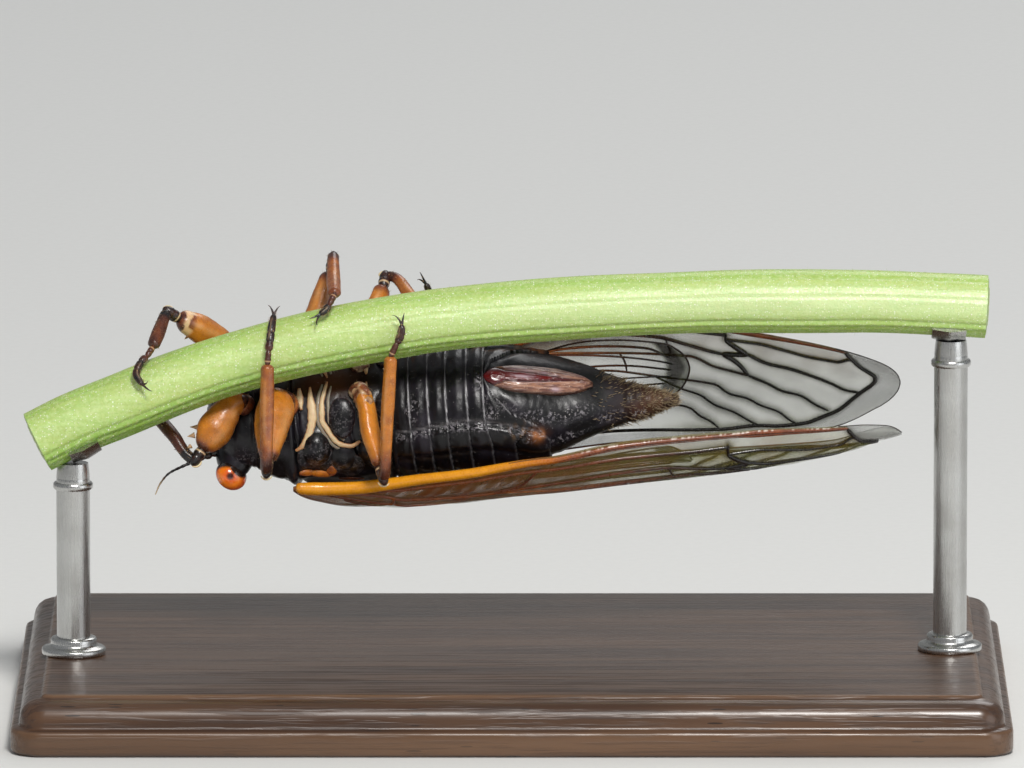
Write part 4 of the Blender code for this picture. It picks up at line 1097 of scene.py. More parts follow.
def mirrored_route(route, side):
    """A route of x and degrees for the right or the left side of the body."""
    return [(x, mirrored(degrees, side), *rest) for x, degrees, *rest in route]


def make_breast_bands(material):
    """The cream rims and grey inner edges of the breast between the legs."""
    pile = Pile("brown", "grey")
    edges = 0.7 * ramp(np.abs(np.cos(circle(RIBBON_SIDES))), 0.6, 1.0)
    for side, _ in SIDES:
        for route in CREAM_BANDS:
            grid = surface_ribbon(mirrored_route(route, side), 0.11, 0.1)
            ends = np.abs(np.linspace(-1.0, 1.0, len(grid)))[:, None]
            pile.add_tube(grid, brown=np.maximum(0.75 * ramp(ends, 0.72, 1.0), edges))
        for route in GREY_BANDS:
            pile.add_tube(surface_ribbon(mirrored_route(route, side), 0.08, 0.07), grey=0.9)
    return pile.piece("breast_bands", material, "black_shell")


def knob(x, degrees, lift, radii, long_way, mesh_size, waves):
    """An uneven dome on the body at x and degrees: its points, its tilt and its waves."""
    centre, facing = skin_point(x, degrees, lift)
    grid, tilt = dome(centre, radii, facing, long_way, *mesh_size)
    scale, seed, strength = waves
    wave = noise_field(grid, scale, seed)
    return centre + (grid - centre) * (1.0 + strength * wave[..., None]), tilt, wave


# Plates of the breast and the flanks: x, degrees, half length, half width, height
BREAST_PLATES = (
    (6.98, -57.0, 0.72, 1.1, 0.32),
    (5.1, -24.0, 0.5, 0.7, 0.14),
    (6.1, -20.0, 0.56, 0.72, 0.14),
    (7.4, -14.0, 0.74, 0.74, 0.14),
    (8.75, -22.0, 0.6, 0.84, 0.14),
    (9.15, -62.0, 0.42, 0.95, 0.16),
)


def make_breast_plates(material):
    """Domed black plates of the breast and the flanks, each in its own furrow."""
    pile = Pile("brown", "frost")
    for side, _ in SIDES:
        for x, degrees, *radii in BREAST_PLATES:
            turn = mirrored(degrees, side)
            grid, tilt, _ = knob(x, turn, -0.02, radii, (1.0, 0.0, 0.0), (30, 56), (2.2, 5.0, 0.05))
            # A faint frost of whitish grains and painted glints over each plate
            pile.add_tube(grid, brown=0.4 * bump_at(np.degrees(tilt), 82.0, 9.0), frost=0.15)
    return pile.piece("breast_plates", material, "black_shell")


# Knuckles at the wing roots: x, degrees, half length, half width, height, tone
WING_ROOTS = (
    (5.1, -7.0, 0.5, 0.22, 0.12, 0.3),
    (5.85, -5.0, 0.6, 0.26, 0.12, 0.16),
    (6.4, -9.0, 0.32, 0.4, 0.12, 0.38),
    (7.4, 6.0, 0.7, 0.26, 0.1, 0.62),
)


def make_wing_roots(material):
    """Orange knuckles at the roots of the wings."""
    pile = Pile("tone", "pale")
    for side, _ in SIDES:
        for x, degrees, *radii, tone in WING_ROOTS:
            turn = mirrored(degrees, side)
            grid, _, wave = knob(x, turn, 0.04, radii, (1.0, 0.0, 0.25), (20, 32), (2.6, 9.0, 0.09))
            pile.add_tube(grid, tone=tone + 0.25 * np.abs(wave))
    return pile.piece("wing_roots", material, "amber_limb")


def make_sheath(material):
    """The egg-laying blade, dark red and narrowing to the rear, between the tan halves of its sheath, with
    painted shade and painted glints.
    """
    stations = np.linspace(SHEATH_STATIONS[0][0] + 0.01, SHEATH_STATIONS[-1][0] - 0.01, 150)
    rows = np.array([read_rows(SHEATH_STATIONS, x) for x in stations])
    middle_z, half = rows[:, :1], rows[:, 1:]
    x, angles = np.meshgrid(stations, circle(72), indexing="ij")
    share = np.linspace(0.0, 1.0, len(stations))[:, None]
    taper = np.minimum(1.0, np.minimum(share, 1.0 - share) * 14.0) ** 0.5
    across = np.cos(angles)
    blade = np.interp(share, (0.0, 0.1, 0.2, 0.5, 0.75, 1.0), (1.0, 0.9, 0.42, 0.3, 0.1, 0.0))
    gap = np.abs(across) - blade
    lines = 0.02 * np.cos(across * 26.0 + 1.5 * np.sin(share * 9.0)) * ramp(gap, 0.05, 0.2)
    seam = -0.1 * bump_at(gap, 0.0, 0.07) + 0.05 * bump_at(gap, 0.22, 0.14)
    z = middle_z + (SHEATH_DEPTH / 2.0 * taper + seam + lines) * np.sin(angles)
    grid = np.stack((x, half * across, z), axis=2)
    # Painted shade in the grooves beside the blade and along the sheath's sides, and a darker rear tip
    dark = 0.8 * (bump_at(gap, 0.0, 0.05) + bump_at(np.abs(across), 1.0, 0.1)) + 0.6 * ramp(share, 0.92, 1.0)
    # Painted highlights: glints along the blade's edges and on the blade and the lower half
    pale = 0.55 * bump_at(gap, 0.09, 0.04) * span(share, 0.2, 0.3, 0.6, 0.85)
    pale += 0.9 * bump_at(share, 0.36, 0.08) * bump_at(across, 0.04, 0.07)
    pale += 0.7 * bump_at(share, 0.66, 0.04) * bump_at(across, 0.75, 0.1)
    pile = Pile("tail", "dark", "pale")
    pile.add_tube(grid, tail=ramp(gap, -0.03, 0.06), dark=dark.clip(0.0, 1.0), pale=pale.clip(0.0, 1.0))
    return pile.piece("ovipositor_sheath", material, "dark_red_sheath", ("ovipositor",))


# Paths of the feeler and the beak: x, y, z and radius
ANTENNA_PATH = (
    (0.45, 1.9, 0.1, 0.26), (0.1, 2.1, 0.1, 0.24), (-0.25, 2.28, 0.06, 0.2), (-0.7, 2.55, 0.0, 0.13),
    (-1.2, 2.85, -0.05, 0.085), (-2.1, 3.33, 0.0, 0.06), (-2.65, 3.75, 0.45, 0.045), (-2.9, 4.02, 1.0, 0.025),
)


def make_antenna(side, name, material):
    """A short bristle of an antenna on two thick joints, with a pale tip."""
    path = smooth_route([(x, y * side, z, radius) for x, y, z, radius in ANTENNA_PATH], 0.05)
    share = np.linspace(0.0, 1.0, len(path))
    radii = path[:, 3] * (1.0 + 0.12 * np.cos(share * 90.0) * ramp(share, 0.3, 0.4))
    joints = ((0.1, 0.35), (0.2, 0.35), (0.3, 0.2))
    radii *= 1.0 - sum(depth * bump_at(share, place, 0.02) for place, depth in joints)
    pile = Pile("tone", "pale")
    grid = sweep(path[:, :3], radii, 18)
    pile.add_tube(grid, tone=0.95 - 0.25 * ramp(share, 0.7, 1.0), pale=0.7 * ramp(share, 0.72, 0.95))
    return pile.piece(name, material, "dark_limb", (name,))


BEAK_PATH = (
    (1.45, 0.0, -2.95, 0.2), (1.7, 0.0, -3.13, 0.24), (2.4, 0.0, -3.25, 0.26), (3.2, 0.0, -3.35, 0.22),
    (3.7, 0.0, -3.4, 0.1),
)


def make_beak(material):
    """The jointed sucking beak folded between the front legs."""
    path = smooth_route(BEAK_PATH, 0.04)
    share = np.linspace(0.0, 1.0, len(path))
    radii = path[:, 3] * (1.0 - 0.25 * bump_at(share, 0.36, 0.02) - 0.2 * bump_at(share, 0.7, 0.02))
    grid = sweep(path[:, :3], radii, 28)
    below = grid[..., 2] < path[:, 2][:, None]
    grid[..., 2] += 0.05 * bump_at(grid[..., 1], path[:, 1][:, None], 0.05) * below
    pile = Pile("tone", "pale")
    pile.add_tube(grid, tone=0.62 + 0.3 * ramp(share, 0.5, 1.0))
    return pile.piece("rostrum", material, "dark_limb", ("rostrum",))


# Legs of the right and the left side, each a path of x, y, z and radius for every limb
LEGS = {
    "leg_fore_right": {
        "femur": ((2.1, 1.3, -2.4, 0.6), (1.75, 1.0, -2.9, 0.62), (1.3, 1.2, -3.08, 0.64),
                  (0.8, 1.75, -2.85, 0.84), (0.3, 2.4, -2.5, 0.97), (0.0, 2.85, -2.3, 0.8),
                  (-0.4, 3.35, -2.0, 0.55)),
        "tibia": ((-0.75, 3.85, -1.78, 0.3), (-1.2, 3.48, -1.9, 0.31), (-1.84, 2.51, -2.15, 0.31),
                  (-3.0, 0.95, -2.26, 0.27)),
        "tarsus": ((-3.2, 0.38, -2.42, 0.22), (-3.32, 0.0, -2.7, 0.23), (-3.37, -0.52, -3.25, 0.18)),
        "claws": ((-3.63, -0.78, -3.7), (-3.12, -0.82, -3.66)),
        "spikes": (((-0.5, 2.1, -2.35), (-1.2, 2.05, -2.35), 0.2),
                   ((-0.75, 2.5, -2.2), (-1.3, 2.6, -2.2), 0.18),
                   ((-0.95, 3.05, -2.0), (-1.35, 3.35, -2.0), 0.14)),
        "tones": (0.2, 0.86, 0.97),
        "cream": 0.0,
    },
    "leg_fore_left": {
        "femur": ((2.6, -1.3, -2.3, 0.55), (1.6, -1.2, -2.6, 0.55), (1.3, -1.9, -2.85, 0.55),
                  (0.7, -2.45, -3.6, 0.72), (-0.3, -2.51, -4.65, 0.78), (-1.1, -2.52, -5.4, 0.62),
                  (-1.55, -2.52, -5.78, 0.48)),
        "tibia": ((-2.05, -2.65, -6.25, 0.3), (-2.22, -2.15, -6.35, 0.31), (-2.5, -1.18, -6.44, 0.31),
                  (-2.82, -0.1, -6.57, 0.27)),
        "tarsus": ((-3.1, 0.45, -6.6, 0.22), (-3.42, 0.84, -6.61, 0.23), (-3.68, 1.64, -6.66, 0.22),
                   (-3.35, 2.32, -6.62, 0.18)),
        "claws": ((-3.05, 2.2, -6.85), (-2.82, 2.7, -6.6)),
        "spikes": (((-0.9, -2.2, -4.7), (-1.35, -1.75, -4.75), 0.17),),
        "tones": (0.16, 0.84, 0.97),
        "cream": 1.0,
    },
    "leg_mid_right": {
        "femur": ((4.3, 1.4, -2.6, 0.85), (4.0, 1.4, -3.3, 0.92), (3.5, 2.15, -3.68, 1.06),
                  (3.28, 3.31, -3.72, 0.95), (3.18, 4.4, -3.64, 0.68), (3.12, 5.2, -3.55, 0.46)),
        "tibia": ((3.04, 5.9, -3.5, 0.32), (3.05, 5.78, -4.15, 0.33), (3.11, 3.69, -5.6, 0.33),
                  (3.2, 1.62, -7.34, 0.28)),
        "tarsus": ((3.26, 1.13, -7.72, 0.23), (3.36, 0.5, -7.98, 0.24), (3.45, -0.2, -8.1, 0.23),
                   (3.56, -0.95, -8.17, 0.18)),
        "claws": ((3.25, -1.4, -8.4), (3.9, -1.35, -8.35)),
        "spikes": (),
        "tones": (0.2, 0.5, 0.95),
        "cream": 0.0,
    },
    "leg_mid_left": {
        "femur": ((4.9, -1.3, -2.6, 0.6), (4.95, -1.4, -3.35, 0.62), (5.3, -2.4, -4.0, 0.66),
                  (5.79, -3.57, -4.58, 0.62), (6.25, -4.8, -5.15, 0.54), (6.52, -5.55, -5.5, 0.44)),
        "tibia": ((6.65, -6.25, -5.85, 0.3), (6.66, -5.9, -6.3, 0.31), (6.68, -3.84, -7.2, 0.32),
                  (6.74, -1.9, -8.52, 0.28)),
        "tarsus": ((6.5, -1.33, -8.5, 0.23), (6.3, -1.05, -8.42, 0.23), (5.95, -0.75, -8.36, 0.18)),
        "claws": ((5.4, -0.5, -8.42), (5.85, -0.05, -8.4)),
        "spikes": (),
        "tones": (0.26, 0.55, 0.97),
        "cream": 0.0,
    },
    "leg_hind_right": {
        "femur": ((7.9, 0.9, -3.0, 0.55), (7.95, 0.85, -3.75, 0.56), (8.3, 1.9, -3.55, 0.55),
                  (8.47, 3.1, -3.2, 0.58), (8.8, 4.3, -2.74, 0.48), (8.97, 4.95, -2.48, 0.42)),
        "tibia": ((9.15, 5.62, -2.28, 0.3), (9.22, 5.4, -2.87, 0.31), (9.42, 3.17, -5.1, 0.31),
                  (9.65, 1.15, -7.2, 0.28)),
        "tarsus": ((9.95, 0.72, -7.66, 0.23), (10.2, 0.35, -8.03, 0.24), (10.26, -0.05, -8.35, 0.18)),
        "claws": ((9.75, -0.45, -8.6), (10.4, -0.6, -8.62)),
        "spikes": (((9.6, 1.7, -6.65), (9.05, 1.6, -6.8), 0.14),
                   ((9.6, 2.4, -5.9), (9.1, 2.35, -6.1), 0.14)),
        "tones": (0.1, 0.34, 0.86),
        "cream": 0.0,
    },
    "leg_hind_left": {
        "femur": ((7.9, -0.9, -3.0, 0.55), (7.95, -0.95, -3.7, 0.55), (8.3, -2.2, -3.7, 0.55),
                  (8.58, -3.64, -3.6, 0.56), (9.05, -5.3, -3.5, 0.46), (9.25, -6.0, -3.45, 0.42)),
        "tibia": ((9.35, -6.72, -3.4, 0.3), (9.88, -6.45, -3.55, 0.31), (10.65, -5.0, -3.95, 0.31),
                  (12.15, -3.0, -4.2, 0.28)),
        "tarsus": ((12.1, -3.2, -4.75, 0.23), (11.9, -3.55, -5.3, 0.24), (11.5, -4.1, -6.3, 0.18)),
        "claws": ((11.05, -4.0, -6.75), (11.2, -4.45, -6.85)),
        "spikes": (((11.3, -4.0, -4.1), (11.5, -4.4, -4.5), 0.14),),
        "tones": (0.15, 0.45, 0.95),
        "cream": 0.0,
    },
}
LIMB_SIDES = 30
# Each limb's flatness, the height of its edges and of its waves, and the width of its painted highlight
# streaks
LIMB_FORMS = {
    "femur": (0.84, 0.035, 0.03, 0.26),
    "tibia": (0.92, 0.045, 0.035, 0.26),
    "tarsus": (0.84, 0.02, 0.015, 0.16),
}


def limb_shape(points, spacing):
    """An evenly spaced limb path and its radii, rounded off at both ends."""
    line = smooth_route(points, spacing)
    path = line[:, :3]
    radii = line[:, 3]
    along = np.concatenate(((0.0,), np.cumsum(np.linalg.norm(np.diff(path, axis=0), axis=1))))
    for start in (along, along[-1] - along):
        inside = np.clip(1.0 - start / np.maximum(radii, 0.05), 0.0, 1.0)
        radii = radii * np.sqrt(np.maximum(1.0 - inside ** 2, 0.004))
    return path, radii, along / along[-1]


def highlight_streak_at(angles, middle, width):
    """Strength of a painted highlight streak along a limb at one angle round it."""
    return bump_at((angles - middle + math.pi) % math.tau - math.pi, 0.0, width)


def add_limb(pile, points, tone, kind, cream=0.0, crusty=0.0):
    """One limb of a leg with edges, painted highlight streaks along them, dark ends and, if wanted, a cream
    patch.
    """
    flat, edge, relief, narrow = LIMB_FORMS[kind]
    path, radii, share = limb_shape(points, 0.045)
    angles = circle(LIMB_SIDES)
    if kind == "femur":
        radii = radii * (1.0 - 0.16 * bump_at(share, 0.17, 0.03) + 0.04 * bump_at(share, 0.95, 0.04))
        shade = tone + 0.45 * (1.0 - ramp(share, 0.05, 0.26)) + 0.5 * ramp(share, 0.86, 0.97)
    elif kind == "tibia":
        radii = radii * (0.94 + 0.2 * ramp(share, 0.15, 0.7) + 0.06 * ramp(share, 0.88, 0.98))
        shade = tone - 0.1 + 0.5 * (1.0 - ramp(share, 0.05, 0.3)) + 0.1 * ramp(share, 0.9, 1.0)
    else:
        knots = bump_at(share, 0.24, 0.03) + bump_at(share, 0.5, 0.03)
        radii = radii * (0.84 - 0.16 * knots + 0.06 * np.sin(share * math.pi))
        shade = tone - 0.2 * bump_at(share, 0.05, 0.1)
    grid = sweep(path, radii, LIMB_SIDES, flat)
    wave = noise_field(grid, 2.4, 4.0)
    swelling = 1.0 + edge * np.cos(4.0 * angles + 0.6) + relief * wave
    grid = path[:, None] + (grid - path[:, None]) * swelling[..., None]
    # Painted highlights: pale streaks at two fixed angles round the limb, which also lighten its tone
    streak = highlight_streak_at(angles, 4.2, narrow) + 0.6 * highlight_streak_at(angles, 1.3, narrow)
    middle = span(share, 0.25, 0.4, 0.8, 0.92)[:, None]
    strength = {"femur": 0.42, "tibia": 0.3 * (tone < 0.6), "tarsus": 0.5}[kind]
    streak = np.clip(strength * streak * middle * (0.8 + 0.6 * wave), 0.0, 1.0)
    tones = shade[:, None] + 0.07 * wave - 0.5 * streak
    if kind == "femur":
        crust = crusty * (1.0 - ramp(share, 0.17, 0.22))[:, None]
        tones += 0.3 * crust
        streak = np.maximum(streak, crust * np.clip(0.1 + 1.2 * wave, 0.0, 0.6))
    if cream:
        patch = span(share, 0.84, 0.88, 0.94, 0.97)[:, None]
        marks = ramp(wave, -0.05, 0.15)
        tones += patch * (0.6 * marks - 0.3)
        streak = np.maximum(streak, patch * (0.7 - 0.7 * marks))
    pile.add_tube(grid, tone=np.clip(tones, 0.0, 1.0), pale=streak)


def add_knee(pile, before, after, radius, tone, crescent, crust=0.0):
    """The hinge between two limbs: a glossy knuckle with a pale crescent of painted highlight, or a crusty
    grey-brown one.
    """
    before = np.array(before)
    after = np.array(after)
    way = after - before
    centre = (before + after) / 2.0
    length = np.linalg.norm(way) / 2.0 + radius * 0.75
    grid, tilt = dome(centre, (radius * 0.92, radius * 0.8, length), way, (0.0, 0.0, 1.0), 40, 30)
    level = np.degrees(tilt)
    waist = 1.0 - 0.12 * bump_at(level, 84.0, 9.0)
    grid = centre + (grid - centre) * waist[:, None, None]
    wave = noise_field(grid, 3.2, 6.0)
    grid = centre + (grid - centre) * (1.0 + 0.12 * crust * wave[..., None])
    # The crescent is a painted highlight; the crust is the knuckle's own grey-brown
    ring = crescent * bump_at(level, 112.0, 3.5)[:, None]
    ring = ring + crust * np.clip(0.12 + 1.3 * wave, 0.0, 0.75)
    pile.add_tube(grid, tone=np.clip(tone - 0.7 * ring, 0.0, 1.0), pale=np.clip(ring, 0.0, 1.0))


def add_spine(pile, root, tip, radius, tone, pale=0.0, bend=(0.0, 0.0, 0.0)):
    """A tapered spine from a root inside the limb to its tip."""
    root = np.array(root)
    share = np.linspace(0.0, 1.0, 12)[:, None]
    path = root + (np.array(tip) - root) * share + np.array(bend) * (4.0 * share * (1.0 - share))
    radii = radius * (1.0 - 0.93 * share[:, 0] ** 0.8)
    pile.add_tube(sweep(path, radii, 10), tone=tone, pale=pale)


def add_spur_row(pile, points, count, length, size, tone, generator):
    """Short spurs and warts along a limb."""
    path, radii, _ = limb_shape(points, 0.05)
    tangents, sides, ups = frames_along(path)
    for index in range(count):
        place = int((0.18 + 0.78 * (index + 0.5 * generator.random()) / count) * (len(path) - 1))
        turn = generator.random() * math.tau
        out = sides[place] * math.cos(turn) + ups[place] * math.sin(turn)
        root = path[place] + out * radii[place] * 0.85
        add_spine(pile, root, root + out * length + tangents[place] * length * 0.8, size, tone, 0.25)


def make_leg(name, limbs, material):
    """One leg from its base under the body to its two claws."""
    pile = Pile("tone", "pale")
    generator = np.random.default_rng(SEED + len(name) * 7 + ord(name[4]))
    femur_tone, tibia_tone, tarsus_tone = limbs["tones"]
    crusty = 1.0 if "hind" in name else 0.0
    femur, tibia, tarsus = [[np.array(point[:3]) for point in limbs[limb]] for limb in LIMB_FORMS]
    add_limb(pile, limbs["femur"], femur_tone, "femur", limbs["cream"], crusty)
    add_limb(pile, limbs["tibia"], tibia_tone, "tibia")
    add_limb(pile, limbs["tarsus"], tarsus_tone, "tarsus")
    add_knee(pile, femur[-1], tibia[0], 0.4, 0.93, 0.95)
    # A thin pale arc hanging below the knee is a painted highlight, put where there is only light
    away = unit(tibia[0] - tibia[2])
    wide = unit(np.array((1.0, 0.0, 0.0)) - away * away[0])
    turns = np.radians(np.linspace(25.0, 155.0, 16))[:, None]
    highlight_arc = tibia[0] + 0.33 * (np.cos(turns) * wide + np.sin(turns) * away)
    pile.add_tube(sweep(highlight_arc, 0.06 * np.sin(np.linspace(0.3, math.pi - 0.3, 16)), 8), tone=0.0, pale=1.0)
    add_knee(pile, tibia[-1], tarsus[0], 0.22, 0.75, 0.6)
    hip_radius = limbs["femur"][1][3] * (1.02 + 0.12 * crusty)
    add_knee(pile, femur[1], femur[2], hip_radius, 0.75 - 0.1 * crusty, 0.0, 0.75 * crusty)
    foot = tarsus[-1]
    forward = unit(foot - tarsus[-2])
    for tip in limbs["claws"]:
        bend = forward * 0.22 * math.dist(tip, foot)
        add_spine(pile, foot - forward * 0.05, tip, 0.08, 0.97, 0.0, bend)
    for root, tip, radius in limbs["spikes"]:
        short = np.array(root) + 0.7 * (np.array(tip) - np.array(root))
        add_spine(pile, root, short, radius, 0.45, 0.5)
    add_spur_row(pile, limbs["tibia"], 14, 0.13, 0.04, tibia_tone, generator)
    return pile.piece(name, material, "amber_limb", [f"{name}_{limb}" for limb in LIMB_FORMS])


# The wing is laid out flat for its drawing: x, and the share of the way to the back edge
FLAT_WIDTH = 6.0
SKIN_HALF = 0.03
COSTA_SIDES = 28
# Each vein: half width at its two ends, how much darker than its surroundings, and its route
FOREWING_VEINS = (
    (0.12, 0.1, 0.0, ((5.6, 0.12), (9.0, 0.11), (13.0, 0.1), (17.2, 0.1), (21.6, 0.12), (25.3, 0.13),
                      (27.3, 0.12))),
    (0.08, 0.08, 0.1, ((17.2, 0.1), (16.2, 0.25), (14.8, 0.31))),
    (0.1, 0.09, 0.0, ((9.6, 0.24), (12.5, 0.29), (14.8, 0.31), (19.0, 0.26), (23.6, 0.26), (25.3, 0.31),
                      (26.6, 0.36), (27.05, 0.37))),
    (0.09, 0.08, 0.3, ((27.2, 0.1), (27.2, 0.2))),
    (0.12, 0.17, 0.4, ((27.2, 0.2), (27.7, 0.27), (28.35, 0.35))),
    (0.14, 0.15, 0.4, ((28.35, 0.35), (27.7, 0.36), (27.05, 0.37))),
    (0.15, 0.1, 0.4, ((27.05, 0.37), (27.5, 0.41), (27.9, 0.46), (28.4, 0.56))),
    (0.08, 0.07, 0.2, ((27.2, 0.19), (28.8, 0.18), (30.3, 0.22), (31.8, 0.26), (33.05, 0.26), (33.7, 0.18),
                       (34.0, 0.17))),
    (0.1, 0.07, 0.2, ((28.35, 0.34), (29.4, 0.42), (30.6, 0.45), (31.9, 0.51), (32.8, 0.57), (33.5, 0.65),
                      (34.3, 0.71))),
    (0.08, 0.06, 0.2, ((28.4, 0.56), (29.4, 0.62), (30.2, 0.68), (31.1, 0.71), (31.9, 0.79), (32.6, 0.85))),
    (0.06, 0.07, -0.1, ((14.8, 0.31), (18.0, 0.4), (21.5, 0.43), (25.3, 0.42), (26.6, 0.5), (27.8, 0.54),
                        (28.4, 0.56))),
    (0.07, 0.06, 0.0, ((9.5, 0.38), (11.5, 0.5), (13.6, 0.58), (17.0, 0.57), (20.5, 0.56), (23.4, 0.6),
                       (26.6, 0.65), (27.4, 0.72), (28.3, 0.75), (29.0, 0.8), (29.95, 0.85), (30.6, 0.92),
                       (31.0, 0.95))),
    (0.06, 0.06, 0.1, ((23.4, 0.6), (24.9, 0.69), (25.8, 0.73), (26.6, 0.8), (27.6, 0.85), (28.4, 0.91),
                       (29.0, 0.95))),
    (0.06, 0.06, 0.1, ((13.6, 0.58), (15.6, 0.7), (18.5, 0.77), (21.8, 0.78), (24.7, 0.8), (25.3, 0.82),
                       (25.8, 0.87), (26.4, 0.91), (26.8, 0.95))),
    (0.1, 0.1, -0.05, ((5.9, 0.3), (6.7, 0.22), (7.6, 0.2), (8.7, 0.21), (9.6, 0.24), (9.62, 0.31),
                       (9.5, 0.38), (8.5, 0.42), (7.4, 0.42), (6.5, 0.38), (5.9, 0.31))),
    (0.08, 0.07, 0.0, ((7.0, 0.55), (9.4, 0.72), (12.5, 0.84), (16.0, 0.91), (20.5, 0.93))),
    (0.06, 0.06, 0.1, ((21.6, 0.43), (21.9, 0.5), (22.0, 0.57))),
    (0.05, 0.05, 0.1, ((24.0, 0.25), (24.2, 0.34), (24.4, 0.43))),
    (0.12, 0.08, 0.3, ((33.5, 0.04), (33.85, 0.16), (34.25, 0.28), (34.75, 0.38), (35.05, 0.46),
                       (35.05, 0.54), (34.85, 0.62), (34.3, 0.71), (33.8, 0.78), (33.2, 0.85), (32.5, 0.89),
                       (31.3, 0.945), (30.0, 0.955), (28.8, 0.945), (27.0, 0.96), (25.4, 0.955),
                       (23.5, 0.945), (20.5, 0.935), (17.5, 0.93))),
)
HINDWING_VEINS = (
    (0.08, 0.05, -0.25, ((8.9, 0.52), (12.0, 0.42), (18.0, 0.3), (23.0, 0.26), (24.3, 0.35))),
    (0.06, 0.05, -0.25, ((9.2, 0.58), (14.0, 0.54), (19.0, 0.48), (22.0, 0.47), (24.4, 0.49))),
    (0.06, 0.05, -0.25, ((9.5, 0.66), (14.0, 0.71), (19.5, 0.7), (24.0, 0.63))),
    (0.05, 0.04, -0.2, ((12.6, 0.56), (16.5, 0.59), (20.5, 0.6), (24.3, 0.56))),
    (0.05, 0.04, -0.2, ((17.0, 0.33), (20.5, 0.37), (23.6, 0.4), (24.4, 0.42))),
)
# The forewing's thick front edge: x, share, half width, half height, tone
COSTA_ROUTE = (
    (4.42, 0.4, 0.14, 0.16, 0.1),
    (4.75, 0.16, 0.34, 0.3, 0.04),
    (5.6, 0.05, 0.39, 0.34, 0.0),
    (8.5, 0.03, 0.37, 0.32, 0.0),
    (11.0, 0.025, 0.3, 0.28, 0.0),
    (14.5, 0.025, 0.27, 0.25, 0.03),
    (17.0, 0.025, 0.22, 0.2, 0.2),
    (19.5, 0.03, 0.19, 0.19, 0.47),
    (24.0, 0.03, 0.17, 0.17, 0.56),
    (27.6, 0.03, 0.15, 0.15, 0.56),
    (28.6, 0.03, 0.22, 0.14, 0.5),
    (30.4, 0.03, 0.18, 0.12, 0.52),
    (33.6, 0.03, 0.09, 0.09, 0.6),
)


def wing_point(x, share, side, inset=0.0, lift=0.0):
    """Points of a wing's skin at arrays of x and share, and the way that its outer face looks."""
    edge_y, edge_z, back_y, back_z, bulge = look_up(WING_TABLE, x)
    chord_y = back_y - edge_y
    chord_z = back_z - edge_z
    length = np.hypot(chord_y, chord_z)
    out_y, out_z = chord_z / length, -chord_y / length
    arch = bulge * 4.0 * share * (1.0 - share)
    lean = bulge * 4.0 * (1.0 - 2.0 * share)
    slope_y = chord_y + out_y * lean
    slope_z = chord_z + out_z * lean
    size = np.hypot(slope_y, slope_z)
    face_y, face_z = slope_z / size, -slope_y / size
    y = edge_y + chord_y * share + out_y * arch + face_y * (lift - inset)
    z = edge_z + chord_z * share + out_z * arch + face_z * (lift - inset)
    place = np.stack((x, y * side, z), axis=-1)
    return place, np.stack((np.zeros_like(y), face_y * side, face_z), axis=-1)


def flat_route(route, spacing):
    """A vein's route on the wing laid flat, smooth and evenly spaced."""
    return smooth_route([(x, share * FLAT_WIDTH, 0.0) for x, share in route], spacing)[:, :2]


def flat_points(x, share):
    """Points of a wing's grid on the wing laid flat."""
    return np.stack((x, share * FLAT_WIDTH), axis=-1).reshape(-1, 2)


def wing_grid(edges, count, across):
    """The places of a wing's skin: x and share of every point of a grid from edge to edge."""
    start, end = edges[0][0], edges[-1][0]
    turn = np.linspace(0.0, math.pi, count)
    eased = 0.75 * np.linspace(0.0, 1.0, count) + 0.25 * (1.0 - np.cos(turn)) / 2.0
    x = start + (end - start) * eased
    rows = np.array([read_rows(edges, place) for place in x])
    x, v = np.meshgrid(x, np.linspace(0.0, 1.0, across), indexing="ij")
    return x, rows[:, :1] + (rows[:, 1:] - rows[:, :1]) * v, v


def make_membrane(pair, word, side, material):
    """A thin wing skin that billows a little between its veins."""
    inset, edges, veins, masks_of, _, mesh_size, _ = WINGS[pair]
    x, share, v = wing_grid(edges, *mesh_size)
    routes = [flat_route(route, 0.3) for *_, route in veins]
    near = distance_to_routes(flat_points(x, share), routes).reshape(x.shape)
    wave = noise_field(np.stack((x, share * FLAT_WIDTH, np.full_like(x, inset)), axis=-1), 0.8, 2.0)
    billow = 0.11 * (1.0 - bump_at(near, 0.0, 0.55)) + 0.03 * wave
    billow *= ramp(np.minimum(v, 1.0 - v), 0.0, 0.12)
    skins = []
    for face in (1.0, -1.0):
        points, _ = wing_point(x, share, side, inset, billow + face * SKIN_HALF)
        skins.append(points.reshape(-1, 3))
    faces = grid_faces(*x.shape, closed=False)
    faces += [tuple(index + x.size for index in reversed(face)) for face in faces]
    spots = np.arange(x.size).reshape(x.shape)
    rim = np.concatenate((spots[:, 0], spots[-1, 1:], spots[-2::-1, -1], spots[0, -2:0:-1])).tolist()
    for here, there in zip(rim, rim[1:] + rim[:1]):
        faces.append((here, there, there + x.size, here + x.size))
    masks = masks_of(x, share, v, near, wave)
    doubled = {label: np.tile(values.ravel(), 2) for label, values in masks.items()}
    mesh = mesh_from(f"{pair}_{word}_skin", np.concatenate(skins), faces, doubled)
    turn_outwards(mesh)
    mesh.shade_smooth()
    return piece(mesh.name, mesh, material, (f"{pair}_{word}",))


